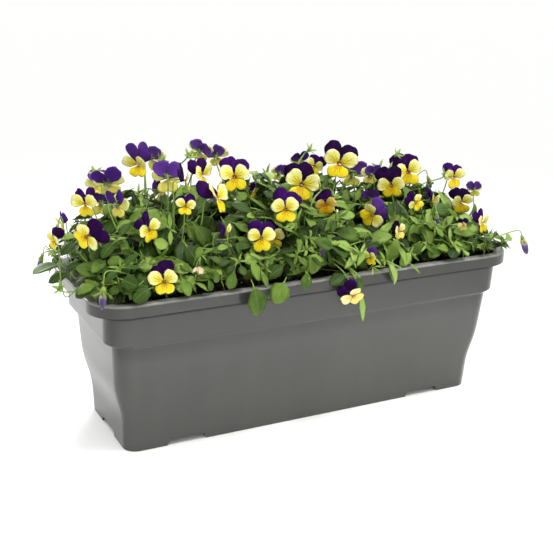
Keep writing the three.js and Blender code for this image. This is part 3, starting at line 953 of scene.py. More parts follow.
def addBall(maker, place, axis, radius, length, slot):
    # a small closed drop: the spur behind the flower or the knob in its throat
    segments, rings = 8, 4
    turn = axis.to_track_quat("Z", "Y").to_matrix()
    tip = maker.verts.new(place + axis * length)
    base = maker.verts.new(place)
    loops = []
    for share in (level / rings for level in range(1, rings)):
        wide = radius * math.sin(math.pi * share) ** 0.7
        loops.append([maker.verts.new(place + turn @ around(wide, 360 * i / segments, length * share))
                      for i in range(segments)])
    for i in range(segments):
        j = (i + 1) % segments
        quads = [(low[i], low[j], high[j], high[i]) for low, high in zip(loops, loops[1:])]
        for corners in ((base, loops[0][j], loops[0][i]), (tip, loops[-1][i], loops[-1][j]), *quads):
            addFace(maker, corners, slot)


def makeFlower(node, flower, materials):
    draw = random.Random(node)
    style = {"sway": draw.uniform(-petals["sway"], petals["sway"]),
             "lean": draw.uniform(-petals["lean"], petals["lean"]),
             "ears": 1, "closed": 0.0, "light": 0.0, "warm": 0.0, "pale": 0.0, **oddFlowers.get(node, {})}
    size = flower["size"] * mm
    throat = flower["middle"] - flower["up"] * petals["throatDrop"] * size
    maker = bmesh.new()
    layer = {"uv": maker.loops.layers.uv.new("UVMap"), "back": maker.faces.layers.float.new("back")}
    for side in (-1, 1):
        upper = dict(petalShapes["upper"])
        upper["angle"] += side * style["lean"]
        upper["spread"] *= style["ears"]
        for key, behind in zip(("base", "tip"), petals["overlap"]):
            upper[key] -= behind * (side > 0)
        addPetal(maker, layer, flower, throat, upper, side, 0, style, draw)
    for side in (-1, 1):
        addPetal(maker, layer, flower, throat, petalShapes["side"], side, 1, style, draw)
    addPetal(maker, layer, flower, throat, petalShapes["lower"], 1, 2, style, draw)
    for sink, way, radius, length, slot in petals["balls"]:
        place, axis = throat - flower["out"] * sink * size, flower["out"] * way
        addBall(maker, place, axis, radius * size, length * size, slot)
    name = node.replace("_flower_", "Flower").replace("viola_", "viola")
    mesh = meshOf(name, maker)
    for key, value in (("tone", draw.random()), ("warm", style["warm"]), ("pale", style["pale"])):
        storeValues(mesh, key, [value] * len(mesh.vertices))
    piece = newPiece(name, mesh, *materials)
    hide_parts(node)
    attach(piece, "root")


def petalRibs(tree, ribs):
    # the height of the ribs and the bump that they give
    height = useGroup(tree, petalVeins, {"Ribs": ribs, "Wander": 1.2})[0]
    return height, bumpOf(tree, height, 0.25, 0.0004)


def makePurplePetal(values):
    material, tree, shader = newMaterial("violaPurple", {"Roughness": 0.85, "Specular IOR Level": 0.06})
    ribs, bump = petalRibs(tree, 60.0)
    own = attributeOf(tree, "tone")
    tone = weighted(tree, noiseOf(tree, objectPlace(tree), 160.0), 0.7, own, 0.45)
    colour = rampOf(tree, tone, [(0.3, values["purpleDark"]), (0.62, values["purple"]),
                                 (1.0, values["velvet"])])
    colour = layColours(tree, colour, [
        (ribs, 0.25, values["purpleDark"]),
        (smoothRange(tree, partOf(tree, uvOf(tree), 1), 0.2, 0.1), 0.7, values["purpleFoot"]),
        (attributeOf(tree, "back"), 0.8, mixColour(tree, own, values["violet"], values["lilac"])),
        (rangeOf(tree, attributeOf(tree, "pale"), 0.5, 0.8), 1.0, values["purpleFaded"]),
    ])
    fill(tree, shader, {"Base Color": colour, "Normal": bump})
    return material


def makeYellowPetal(values, name):
    body, edge, lines, reach, edgeFrom, deep = yellowPetals[name]
    material, tree, shader = newMaterial(name, {"Roughness": 0.55, "Specular IOR Level": 0.25})
    ribs, bump = petalRibs(tree, 44.0)
    uv = uvOf(tree)
    along = partOf(tree, uv, 1)
    off = times(tree, calc(tree, "ABSOLUTE", calc(tree, "SUBTRACT", partOf(tree, uv, 0), 0.5)), 2.0)
    outer = calc(tree, "MAXIMUM", calc(tree, "POWER", off, 3.0), along)
    fan = useGroup(tree, whiskers, {"Lines": lines, "Reach": reach, "Thin": 0.3})
    back = attributeOf(tree, "back")
    drawn = times(tree, fan["Line"], calc(tree, "SUBTRACT", 1.0, back))
    colour = mixColour(tree, smoothRange(tree, outer, edgeFrom, 1.0), body, edge)
    colour = layColours(tree, colour, [
        (smoothRange(tree, along, 0.6, 0.2), 0.9, values["yellow"]),
        (ribs, 0.12, values["yellowRib"]),
        (fan["Patch"], deep, values["throat"]),
        (drawn, 0.75, values["whisker"]),
        (attributeOf(tree, "warm"), 0.6, values["yellowWarm"], "MULTIPLY"),
        (attributeOf(tree, "pale"), 0.7, values["yellowFaded"]),
        (back, 0.45, values["yellowBack"]),
    ])
    fill(tree, shader, {"Base Color": colour, "Normal": bump})
    return material


def makeThroat(values):
    material, tree, shader = newMaterial("violaThroat", {"Roughness": 0.5})
    patches = noiseOf(tree, objectPlace(tree), 900.0)
    fill(tree, shader, {"Base Color": rampOf(tree, patches, zip((0.3, 0.7), values["knob"]))})
    return material


petalMaterials = [makePurplePetal(petalColours), makeYellowPetal(petalColours, "violaCream"),
                  makeYellowPetal(petalColours, "violaYellow"), makeThroat(petalColours)]
for node, flower in flowers.items():
    makeFlower(node, flower, petalMaterials)
print("flowers made:", len(flowers))


# Greens: stems, leaves, flower cups and closed buds, one piece for each plant

greens = {
    "crownHeight": 164.0,
    "crownRadius": (5.6, 4.2),
    "stemRadius": 1.15,
    "stemSides": 6,
    "stalkRadius": 0.75,
    "caneRadius": (1.7, 1.3),
    # shares of the radius at the foot and at the end
    "tapers": {"flower": (1.3, 0.8), "shoot": (1, 0.7), "extra": (1, 0.6), "bud": (1.2, 0.7),
               "cup": (1.2, 1)},
    "leafyFrom": -96,  # shoots that hang further out over the front are bare
    "leafStarts": (0.7, 0.4, 0.26),  # along a shoot over the rim, one inside it and an extra one
    "leafGap": 12.5,
    "gapSpread": (0.8, 1.25),
    "leafSizes": (0.8, 1.38),
    "sizeSpread": (0.82, 1.12),
    "turnStep": 137.5,  # degrees from one leaf to the next
    "turnSpread": 20,
    "tipLeaves": 4,
    "singleShare": 0.4,
    "youngTo": 0.1,
    "tries": 8,
    "matureKinds": ("oval", "ovalDroop", "spoon", "spoonDroop", "round", "roundDroop", "oval", "spoonDroop"),
    "tipKinds": ("young", "lance", "young", "oval", "spoon"),
    "otherKinds": ("lance", "lanceDroop", "heart"),
    "otherShare": 0.12,
    "leafScatter": 0.36,
    "starScatter": 0.12,
    "placedScatter": 0.08,
    "toneScatter": 0.37,
    "tones": (0.03, 0.5, 0.9),  # at the foot of a shoot, how much more at its tip, and the lightest
    "stipuleLength": 11.0,
    "stipuleSpread": (0.7, 1.5),
    "facing": (0.66, 0.74),  # how much leaves look out and up, and how far sideways and over an end
    "sideLook": (0.55, 0.35),
    "endLook": 0.9,
    "extraShoots": 24,
    "extraRoom": 16,
    "extraTries": 900,
    "plotMargins": (10, -12, 6, -2),
    "tipDrop": 28,
    "canopy": 266.0,
    "canopyFall": 60.0,
    "canopySpan": (-150, 114),  # full height between these, falling away over the reaches beyond
    "canopyReach": (130, 92),
    "canopyEnds": 1.2,
    "canopyLeast": 18,  # never less than this above the rim
    "lowestInside": 165,
    "rimClear": 3,
    "rimWidth": (17, 11),
    "faceRoom": 15.0,
    "faceReach": 26,
    "viewReach": 60,
    "chin": (9, 0.7),  # how far below a flower's middle it is also kept clear, and the share of its room
    "leafMiddle": 0.6,
    "leafRoom": 0.22,  # the room of a listed leaf or star, for its length
    "starRoom": 0.4,
    "nearRoom": 58,
    "petalReach": 17.0,
    "petalDepth": 6,
    "petalsNear": 90,
    "leafTones": ("0b1b03", "304b0c", "76923a", "93ad5a"),
    "leafUnder": "5f7040",
    "leafVein": "7f9648",
    "leafMargin": "86a04e",
    "stem": "7f9c42",
    "stemDark": "6f9140",
}
# crown: where the plant stands; plot: its west, east, south and north limits; shoots: where their tips are
# buds: end x, y, z, kind and size of the cup, size of the bud, and how far its stalk rises past it
# canes: bare stems by their points; emptyCups: cups whose petals have dropped
# stars of leaves: middle x, y, z, leaf length, how many, kind, tone
# leaves given one by one: foot x, y, z, turn, pitch, length, kind, tone
# backLeaves: the same, to close gaps behind the others; nothing is kept clear before them
plants = {
    "viola_1": {
        "crown": (-158, -42),
        "plot": (-250, -82, -92, 0),
        "seed": 101,
        "shoots": [
            (-242, -42, 204), (-234, -62, 192), (-222, -78, 190), (-205, -84, 188), (-150, -86, 186),
            (-118, -86, 184), (-196, -40, 212), (-120, -30, 214), (-92, -64, 204), (-116, -4, 228),
            (-172, -28, 232), (-214, -30, 226),
        ],
        "buds": [
            (-242, -94, 192, 0, 1.9, 1.7, 16), (-262, -12, 236, 1, 1.3, 1.3, 9),
        ],
        "emptyCups": [
            (-272, -54, 184),
        ],
        "stars": [
            (-137, -80, 210, 25, 7, "spoon", 0.55), (-97, -82, 199, 26, 7, "spoon", 0.4),
            (-161, -58, 233, 20, 6, "lance", 0.7), (-214, -50, 226, 24, 6, "oval", 0.35),
            (-220, -78, 206, 22, 6, "lance", 0.45),
        ],
        "leaves": [
            (-236, -64, 190, -74, -12, 27, "oval", 0.6), (-224, -55, 210, -60, -16, 26, "oval", 0.55),
            (-222, -52, 212, 84, 4, 24, "spoon", 0.4), (-186, -68, 200, 172, 46, 30, "round", 0.3),
            (-140, -42, 220, -28, -34, 38, "oval", 0.35), (-136, -30, 232, 24, -34, 34, "oval", 0.7),
            (-186, -66, 198, -48, -26, 28, "roundDroop", 0.4), (-226, -88, 200, 74, -26, 22, "round", 0.25),
            (-192, -94, 188, -74, -14, 26, "roundDroop", 0.35), (-164, -90, 196, 40, -60, 24, "oval", 0.6),
            (-148, -84, 200, 74, 68, 22, "spoon", 0.65), (-128, -88, 204, 16, -70, 22, "spoon", 0.5),
            (-138, -92, 195, 46, -66, 20, "spoon", 0.45), (-102, -88, 202, -50, -56, 30, "spoon", 0.5),
            (-196, -66, 222, 150, 10, 30, "round", 0.35), (-150, -62, 222, 40, -50, 34, "round", 0.2),
            (-134, -42, 236, 30, -40, 38, "ovalDroop", 0.45), (-118, 6, 242, -40, -40, 40, "oval", 0.35),
            (-98, 8, 240, -70, -44, 40, "round", 0.25), (-112, -14, 232, -62, -40, 38, "round", 0.4),
            (-90, -6, 232, -96, -42, 36, "oval", 0.3), (-240, -66, 188, -84, -20, 24, "round", 0.4),
            (-232, -76, 186, -40, -14, 26, "oval", 0.2), (-214, -80, 190, -96, -22, 22, "oval", 0.5),
            (-252, -30, 192, -100, -16, 28, "oval", 0.3),
        ],
        "backLeaves": [
            (-86, 16, 226, 8, -72, 34, "round", 0.25), (-82, 10, 216, 12, -70, 30, "oval", 0.15),
        ],
    },
    "viola_2": {
        "crown": (-8, -42),
        "plot": (-82, 76, -92, 0),
        "seed": 102,
        "shoots": [
            (-70, -86, 190), (-28, -104, 178), (-12, -84, 196), (32, -106, 172), (34, -86, 188),
            (-50, -30, 215), (30, -60, 212), (40, -14, 216), (-74, -62, 206), (56, -84, 188),
            (68, -74, 198), (44, -18, 236), (40, -88, 192), (54, -91, 188),
        ],
        "buds": [
            (-4, -84, 207, 1, 1.0, 1.4, 9),
        ],
        "canes": [
            ((32, -96, 168), (22, -86, 190), (8, -76, 213)),
        ],
        "stars": [
            (-17, -76, 200, 15, 9, "blade", 0.95), (30, -96, 186, 14, 8, "blade", 0.95),
            (52, -6, 240, 13, 9, "blade", 0.9), (84, 18, 236, 14, 8, "blade", 0.85),
            (62, -52, 220, 16, 10, "blade", 1.0), (71, 20, 240, 17, 11, "blade", 1.0),
            (42, -20, 234, 16, 10, "blade", 1.0), (40, -90, 192, 16, 10, "blade", 1.0),
            (56, -92, 188, 16, 10, "blade", 1.0), (50, -100, 180, 15, 7, "blade", 0.95),
        ],
        "leaves": [
            (-88, -84, 203, 50, -60, 28, "oval", 0.72), (-76, -88, 190, 34, -62, 22, "lance", 0.6),
            (-46, -88, 193, -80, -26, 26, "oval", 0.25), (-91, -98, 184, 26, -70, 42, "ovalDroop", 0.45),
            (-52, -100, 182, -66, -52, 30, "round", 0.6), (-58, -2, 244, 70, -16, 30, "oval", 0.5),
            (-94, -28, 232, 20, -44, 32, "round", 0.35), (-72, -40, 230, 60, -30, 30, "oval", 0.45),
            (-26, -98, 188, -50, -66, 24, "oval", 0.45), (-76, -18, 242, 108, 24, 24, "oval", 0.6),
            (-56, -30, 232, 85, 3, 26, "spoon", 0.35), (-87, -35, 228, 55, -20, 27, "oval", 0.6),
            (-88, -48, 217, 40, -26, 22, "oval", 0.45), (-6, -32, 230, 34, -30, 31, "spoon", 0.8),
            (16, -62, 212, 80, -10, 43, "oval", 0.5), (-10, -86, 200, -52, -62, 25, "heart", 0.62),
            (-8, -84, 202, 68, -42, 24, "heart", 0.35), (-6, -60, 206, -146, 44, 20, "oval", 0.75),
            (23, -98, 176, -78, -14, 28, "oval", 0.2), (28, -106, 177, 40, -72, 19, "oval", 0.4),
            (32, -107, 160, 60, -82, 38, "blade", 0.95), (40, -88, 194, -70, -30, 26, "lance", 0.9),
            (54, -82, 196, -60, -34, 26, "lance", 0.85), (30, -84, 196, -110, -28, 24, "oval", 0.5),
        ],
        "backLeaves": [
            (58, -14, 200, 24, -8, 34, "round", 0.35), (84, -42, 202, -150, -6, 32, "oval", 0.45),
        ],
    },
    "viola_3": {
        "crown": (152, -42),
        "plot": (76, 244, -92, 0),
        "seed": 103,
        "shoots": [
            (84, -104, 176), (104, -88, 184), (128, -86, 192), (158, -86, 190), (192, -84, 186),
            (228, -76, 186), (238, -56, 184), (200, -48, 202), (150, -20, 208), (120, -56, 208),
            (84, -74, 192), (176, -90, 182), (206, -88, 182), (234, -84, 180), (82, -2, 224),
        ],
        "buds": [
            (284, -60, 177, 1, 1.5, 2.3, 8), (150, -70, 222, 1, 1.2, 1.2, 9),
        ],
        "stars": [
            (88, -40, 216, 16, 10, "blade", 1.0), (134, 0, 226, 15, 9, "blade", 1.0),
            (68, -96, 184, 15, 7, "blade", 0.95), (113, -2, 228, 13, 8, "blade", 0.85),
            (150, -28, 211, 22, 6, "oval", 0.6),
        ],
        "leaves": [
            (68, -96, 184, 54, -54, 34, "lanceDroop", 0.95), (70, -98, 178, 28, -60, 17, "blade", 0.9),
            (86, -88, 200, 56, -60, 31, "lance", 0.85), (71, -80, 204, 34, -58, 21, "blade", 0.8),
            (99, -96, 178, 62, -42, 19, "blade", 0.8), (120, -44, 220, 44, -24, 25, "spoon", 0.85),
            (140, -55, 211, -6, -36, 34, "oval", 0.6), (188, -49, 216, -92, 10, 29, "roundDroop", 0.45),
            (206, -76, 192, -98, 14, 33, "oval", 0.6), (166, -78, 180, 86, 14, 28, "round", 0.5),
            (123, -82, 192, 76, -28, 21, "oval", 0.55), (159, -88, 182, -84, 22, 20, "heart", 0.75),
            (213, -50, 202, 90, 72, 21, "oval", 0.6), (172, -72, 196, -78, -34, 30, "round", 0.4),
            (150, -80, 190, -70, -36, 22, "round", 0.55), (134, -76, 194, -96, -40, 26, "oval", 0.5),
            (188, -54, 204, -34, -26, 36, "ovalDroop", 0.6), (174, -30, 214, -22, -14, 33, "oval", 0.5),
            (140, -54, 216, -58, -52, 38, "oval", 0.65), (120, -42, 216, -24, -20, 34, "oval", 0.55),
            (98, -76, 206, -66, -56, 36, "oval", 0.75), (108, -90, 190, -84, -44, 24, "oval", 0.85),
            (206, -74, 190, -60, -20, 24, "round", 0.25), (220, -62, 190, -40, -16, 24, "oval", 0.15),
        ],
        "backLeaves": [
            (88, 34, 244, 8, -70, 34, "oval", 0.7), (112, 34, 240, -8, -68, 34, "oval", 0.6),
            (206, -60, 188, 30, -10, 28, "oval", 0.4),
        ],
    },
    "viola_4": {
        "crown": (-150, 42),
        "plot": (-250, -76, 0, 92),
        "seed": 104,
        "shoots": [
            (-252, 30, 196), (-246, 62, 190), (-222, 84, 188), (-184, 88, 190), (-140, 88, 190),
            (-104, 86, 188), (-196, 42, 214), (-120, 40, 222), (-128, 104, 180), (-150, 14, 216),
            (-218, 16, 208),
        ],
        "buds": [
            (-160, 92, 214, 1, 1.3, 1.3, 9), (-268, 34, 194, 1, 1.3, 1.3, 9),
        ],
        "emptyCups": [
            (-213, 20, 277), (-114, 12, 290), (-133, 45, 280),
        ],
        "stars": [
            (-108, 12, 224, 26, 7, "oval", 0.5),
        ],
        "leaves": [
            (-262, -34, 204, -82, -6, 34, "round", 0.45), (-242, -20, 222, -66, -22, 27, "oval", 0.2),
            (-166, 20, 246, 60, -10, 32, "oval", 0.4), (-198, -8, 238, -50, -24, 32, "oval", 0.3),
        ],
        "backLeaves": [
            (-101, 24, 253, 4, -74, 36, "round", 0.3), (-137, 24, 259, 0, -72, 34, "round", 0.3),
            (-114, 22, 264, 10, -76, 34, "oval", 0.2),
        ],
    },
    "viola_5": {
        "crown": (8, 42),
        "plot": (-76, 84, 0, 92),
        "seed": 105,
        "shoots": [
            (-60, 86, 190), (-20, 90, 192), (24, 88, 192), (62, 86, 188), (-50, 40, 220), (-10, 24, 222),
            (34, 36, 220), (60, 16, 216), (-6, 104, 178), (46, 106, 168),
        ],
        "buds": [
            (-10, 96, 212, 1, 1.3, 1.3, 9),
        ],
        "emptyCups": [
            (46, 42, 280),
        ],
    },
    "viola_6": {
        "crown": (156, 42),
        "plot": (84, 244, 0, 92),
        "seed": 106,
        "shoots": [
            (98, 88, 188), (136, 90, 190), (176, 88, 190), (214, 84, 188), (238, 56, 184), (238, 14, 186),
            (206, 30, 208), (160, 48, 216), (110, 36, 216), (196, 8, 210), (166, 104, 178), (230, 50, 200),
        ],
        "buds": [
            (206, 30, 238, 1, 1.3, 1.3, 9), (140, 96, 206, 1, 1.3, 1.3, 9),
        ],
        "emptyCups": [
            (153, 22, 270), (226, 24, 240),
        ],
        "backLeaves": [
            (118, 0, 202, -130, -4, 34, "round", 0.3),
        ],
    },
}

leafOutlines = {
    # share of the leaf's length up to each row, and the blade's half width there
    "oval": [(0, 0.05), (0.1, 0.05), (0.22, 0.09), (0.34, 0.56), (0.46, 0.9), (0.58, 1.0), (0.7, 0.93),
             (0.82, 0.68), (0.93, 0.34), (1.0, 0)],
    "spoon": [(0, 0.05), (0.14, 0.05), (0.3, 0.08), (0.42, 0.2), (0.53, 0.56), (0.64, 0.88), (0.75, 1.0),
              (0.86, 0.86), (0.95, 0.5), (1.0, 0)],
    "round": [(0, 0.05), (0.12, 0.05), (0.25, 0.12), (0.35, 0.78), (0.47, 1.02), (0.6, 1.08), (0.73, 0.98),
              (0.85, 0.76), (0.95, 0.42), (1.0, 0)],
    "heart": [(0, 0.06), (0.1, 0.06), (0.2, 0.7), (0.28, 0.98), (0.38, 1.04), (0.5, 0.98), (0.63, 0.84),
              (0.77, 0.62), (0.9, 0.34), (1.0, 0)],
    "sliver": [(0, 0.35), (0.3, 0.9), (0.65, 0.8), (1.0, 0)],
    "lance": [(0, 0.07), (0.08, 0.08), (0.18, 0.3), (0.3, 0.68), (0.42, 0.92), (0.54, 1.0), (0.67, 0.86),
              (0.8, 0.6), (0.92, 0.3), (1.0, 0)],
}
leafKinds = {
    # outline, length, half width, bend in degrees, fold, twist, quilt
    "oval": ("oval", 34, 8.8, 26, 0.2, 6, 0.5),
    "ovalDroop": ("oval", 33, 8.4, 60, 0.14, -8, 0.6),
    "spoon": ("spoon", 36, 7.4, 36, 0.18, 10, 0.5),
    "spoonDroop": ("spoon", 38, 7.2, 76, 0.12, -6, 0.5),
    "round": ("round", 30, 9.8, 24, 0.12, -4, 0.7),
    "roundDroop": ("round", 31, 9.6, 62, 0.08, 8, 0.7),
    "lance": ("lance", 31, 4.9, 30, 0.26, 12, 0.3),
    "lanceDroop": ("lance", 33, 4.9, 84, 0.2, -10, 0.3),
    "young": ("oval", 22, 5.0, 10, 0.36, 4, 0.3),
    "heart": ("heart", 25, 8.6, 34, 0.14, -6, 0.6),
    "blade": ("lance", 36, 3.3, 18, 0.3, 6, 0.1),
    "stipule": ("sliver", 12, 1.5, 30, 0.2, 10, 0.0),
}
leafBlade = {
    "thickness": 0.32,
    "scallop": 0.055,
    "toothedFrom": 0.4,  # the edge is scalloped where the blade is wider than this
    "stalk": 0.576,
    "stalkTo": 0.15,  # and it is a stalk where it is narrower
    "droopFrom": 50,  # blades that bend more than this also hang at their sides
    "droop": 0.012,
}


def makeLeaf(name, kind):
    outline, length, half, bend, fold, twist, quilt = kind
    rows = leafOutlines[outline]
    places = []
    y = z = before = 0.0
    for share, _ in rows:
        angle = math.radians(bend * (0.35 - share))
        y += (share - before) * length * math.cos(angle)
        z += (share - before) * length * math.sin(angle)
        before = share
        places.append((share, y, z, angle, math.radians(twist * share)))
    points, uvs = [], []

    def put(s, share, y, z, angle, turn, width, drop):
        x = s * width
        lift = fold * abs(x) - drop - leafBlade["droop"] * x * x * (bend > leafBlade["droopFrom"])
        aside = Vector((x * math.cos(turn), 0, x * math.sin(turn)))
        offset = aside + Vector((0, -math.sin(angle), math.cos(angle))) * lift
        points.append((Vector((0, y, z)) + offset) * mm)
        uvs.append((0.5 + 0.5 * s, share))
        return len(points) - 1

    top, under = [], []
    for i, ((share, width), place) in enumerate(zip(rows[:-1], places)):
        wide = half * width
        edge = wide * (1 + leafBlade["scallop"] * (1 if i % 2 else -1) * (width > leafBlade["toothedFrom"]))
        puff = -quilt * width
        top.append([put(s, *place, reach, drop) for s, reach, drop in (
            (-1, edge, 0), (-0.5, wide, puff), (0, wide, 0), (0.5, wide, puff), (1, edge, 0))])
        thick = leafBlade["stalk"] if width < leafBlade["stalkTo"] else leafBlade["thickness"]
        under.append(put(0, *place, wide, thick))
    tip = put(0, *places[-1], 0, 0)
    faces = [(low[i], low[i + 1], high[i + 1], high[i]) for low, high in zip(top, top[1:]) for i in range(4)]
    faces += [(top[-1][i], top[-1][i + 1], tip) for i in range(4)]
    marks = [0.0] * len(faces)
    for i in range(len(top) - 1):
        faces.append((under[i], top[i][0], top[i + 1][0], under[i + 1]))
        faces.append((top[i][4], under[i], under[i + 1], top[i + 1][4]))
    faces += [(under[-1], top[-1][0], tip), (top[-1][4], under[-1], tip), (under[0], *reversed(top[0]))]
    marks += [1.0] * (len(faces) - len(marks))
    return leafPiece(name, points, faces, uvs, marks)


def leafPiece(name, points, faces, uvs, marks):
    # marks are 1 on the faces that look down
    mesh = meshFrom(name, points, faces)
    layer = mesh.uv_layers.new(name="UVMap")
    for loop in mesh.loops:
        layer.data[loop.index].uv = uvs[loop.vertex_index]
    storeValues(mesh, "under", marks, domain="FACE")
    return newPiece(name, mesh)


cupParts = {
    "kinds": ((48, 6.4), (16, 7.0)),  # how far the sepals open, in degrees, and their length
    "sepal": ((0.0, 0.7), (0.3, 1.25), (0.65, 0.95)),  # share of the length, and half width
    "inner": 0.9,
    "thickness": 0.35,
    "knob": ((-1.6, 0.7), (0.0, 1.5), (1.4, 1.2)),  # height and radius at the end of the stalk
    "bud": ((0.0, 1.3), (2.4, 2.2), (5.0, 2.1), (7.6, 1.4)),  # and of the rolled petals
    "budHeight": 9.4,
    "budFold": 0.78,
    "budTurn": 14,
}


def makeCup(name, spread, length):
    # five narrow sepals round the back of a flower or bud, opening towards +Z
    inner = cupParts["inner"]
    points, faces, uvs, marks = [], [], [], []
    for i in range(5):
        ray, side = around(1, 72 * i + 36), around(1, 72 * i + 126)
        first = len(points)
        for share, width in cupParts["sepal"]:
            lean = math.radians(spread) * min(1.0, share * 1.6)
            far = length * share
            line = ray * (inner + far * math.sin(lean)) + Vector((0, 0, far * math.cos(lean)))
            sink = (ray * math.cos(lean) - Vector((0, 0, math.sin(lean)))) * cupParts["thickness"]
            for s, drop in ((-1, 0), (0, -0.5), (1, 0), (0, 1)):
                points.append((line + side * width * s + sink * drop) * mm)
                uvs.append((0.5 + 0.3 * s, 0.4 + 0.5 * share))
        lean = math.radians(spread)
        line = ray * (inner + length * math.sin(lean)) + Vector((0, 0, length * math.cos(lean)))
        tip = first + 12
        points.append(line * mm)
        uvs.append((0.5, 1.0))
        for a in (first, first + 4, first + 8):
            sides = (a + 1, a), (a + 2, a + 1), (a + 3, a + 2), (a, a + 3)
            faces += [(b, c, tip) if a == first + 8 else (b, c, c + 4, b + 4) for b, c in sides]
            marks += [0.0, 0.0, 1.0, 1.0]
        faces.append((first, first + 1, first + 2, first + 3))
        marks.append(1.0)
    base = len(points)
    for z, wide in cupParts["knob"]:
        points += [around(wide, 60 * i, z) * mm for i in range(6)]
        uvs += [(0.5, 0.3)] * 6
    faces += ringFaces(6, 3, base)
    faces += [tuple(reversed(range(base, base + 6))), tuple(range(base + 12, base + 18))]
    marks += [0.0] * 12 + [1.0, 1.0]
    return leafPiece(name, points, faces, uvs, marks)


def makeBudTip(name):
    # rolled petals of a closed bud, pointing along +Z
    rows, height, turn = cupParts["bud"], cupParts["budHeight"], cupParts["budTurn"]
    folds = (cupParts["budFold"], 1.0)
    points = [around(wide * folds[i % 2], 45 * i + turn * level, z) * mm
              for level, (z, wide) in enumerate(rows) for i in range(8)]
    points.append(Vector((0, 0, height)) * mm)
    faces = ringFaces(8, len(rows))
    faces += [(24 + i, 24 + (i + 1) % 8, 32) for i in range(8)]
    faces.append(tuple(reversed(range(8))))
    uvs = [(0.5, point.z / (height * mm)) for point in points]
    return leafPiece(name, points, faces, uvs, [0.0] * len(faces))


def linesMesh(name, lines):
    # one edge line for each stem, with its radius at every point
    points, edges, radii = [], [], []
    for path, thick, thin in lines:
        first = len(points)
        points += [tuple(point * mm) for point in path]
        radii += [(thick + (thin - thick) * i / (len(path) - 1)) * mm for i in range(len(path))]
        edges += [(i, i + 1) for i in range(first, len(points) - 1)]
    mesh = bpy.data.meshes.new(name)
    mesh.from_pydata(points, edges, [])
    storeValues(mesh, "thickness", radii)
    return mesh


def placesPiece(name, rows):
    # rows are place, turned matrix, size, shape number and tone
    places, turns, sizes, shapes, tones = zip(*rows)
    mesh = bpy.data.meshes.new(name)
    mesh.from_pydata([tuple(place * mm) for place in places], [], [])
    storeValues(mesh, "turn", [angle for turn in turns for angle in turn.to_euler()], "FLOAT_VECTOR")
    storeValues(mesh, "size", sizes)
    storeValues(mesh, "shape", shapes, "INT")
    storeValues(mesh, "tone", tones)
    return newPiece(name, mesh)


def storedOf(tree, name, kind="FLOAT"):
    return addNode(tree, "GeometryNodeInputNamedAttribute", {"Name": name}, data_type=kind).outputs[0]


def stemTree():
    # a tube along every edge line
    tree, given, made = newGroup(
        "stemTubes", "GeometryNodeTree", {"Geometry": "Geometry", "Sides": "Int", "Finish": "Material"},
        {"Geometry": "Geometry"})
    curve = addNode(tree, "GeometryNodeMeshToCurve", {0: given["Geometry"]})
    circle = addNode(tree, "GeometryNodeCurvePrimitiveCircle", {"Resolution": given["Sides"], "Radius": 1.0})
    tube = addNode(tree, "GeometryNodeCurveToMesh", {
        "Curve": curve.outputs[0], "Profile Curve": circle.outputs[0], "Scale": storedOf(tree, "thickness"),
        "Fill Caps": True})
    smooth = addNode(tree, "GeometryNodeSetShadeSmooth", {0: tube.outputs[0]})
    return finishTree(tree, smooth.outputs[0], given, made, False)


def copiesTree():
    # a leaf, cup or bud on every point of another piece
    tree, given, made = newGroup(
        "placeCopies", "GeometryNodeTree",
        {"Geometry": "Geometry", "Places": "Object", "Shapes": "Collection", "Finish": "Material"},
        {"Geometry": "Geometry"})
    places = addNode(tree, "GeometryNodeObjectInfo", {0: given["Places"]}).outputs["Geometry"]
    placed = copiesOn(tree, places, given["Shapes"], storedOf(tree, "turn", "FLOAT_VECTOR"),
                      storedOf(tree, "size"), **{"Instance Index": storedOf(tree, "shape", "INT")})
    return finishTree(tree, placed, given, made)


def makeLeafMaterial(values):
    material, tree, shader = newMaterial("violaLeaf", {"Specular IOR Level": 0.19})
    uv = uvOf(tree)
    along = partOf(tree, uv, 1)
    patches = mottled(tree, objectPlace(tree), 90.0, 800.0, 0.3)
    tone = weighted(tree, attributeOf(tree, "tone"), 0.75, patches, 0.35)
    colour = rampOf(tree, tone, zip((0.12, 0.47, 0.76, 0.95), values["leafTones"]))
    off = calc(tree, "ABSOLUTE", calc(tree, "SUBTRACT", partOf(tree, uv, 0), 0.5))
    rib = smoothRange(tree, off, 0.05, 0.012)
    slope = calc(tree, "SUBTRACT", times(tree, along, 40.0), times(tree, off, 26.0))
    vein = times(tree, smoothRange(tree, calc(tree, "COSINE", slope), 0.88, 1.0), 0.35)
    lines = calc(tree, "MAXIMUM", rib, times(tree, vein, rangeOf(tree, along, 0.3, 0.4)))
    colour = layColours(tree, colour, [
        (lines, 0.24, values["leafVein"]),
        (smoothRange(tree, off, 0.4, 0.5), 0.16, values["leafMargin"]),
        (smoothRange(tree, along, 0.3, 0.16), 0.7, values["stem"]),
        (attributeOf(tree, "under"), 0.55, values["leafUnder"]),
    ])
    height = calc(tree, "SUBTRACT", times(tree, patches, 0.4), lines)
    fill(tree, shader, {"Base Color": colour, "Roughness": rangeOf(tree, patches, 0.2, 0.8, 0.38, 0.56),
                        "Normal": bumpOf(tree, height, 0.5, 0.0006)})
    return material


def makeStemMaterial(values):
    material, tree, shader = newMaterial("violaStem", {"Roughness": 0.5})
    patches = mottled(tree, objectPlace(tree), 60.0, 500.0, 0.4)
    colour = rampOf(tree, patches, [(0.3, values["stemDark"]), (0.7, values["stem"])])
    fill(tree, shader, {"Base Color": colour})
    return material


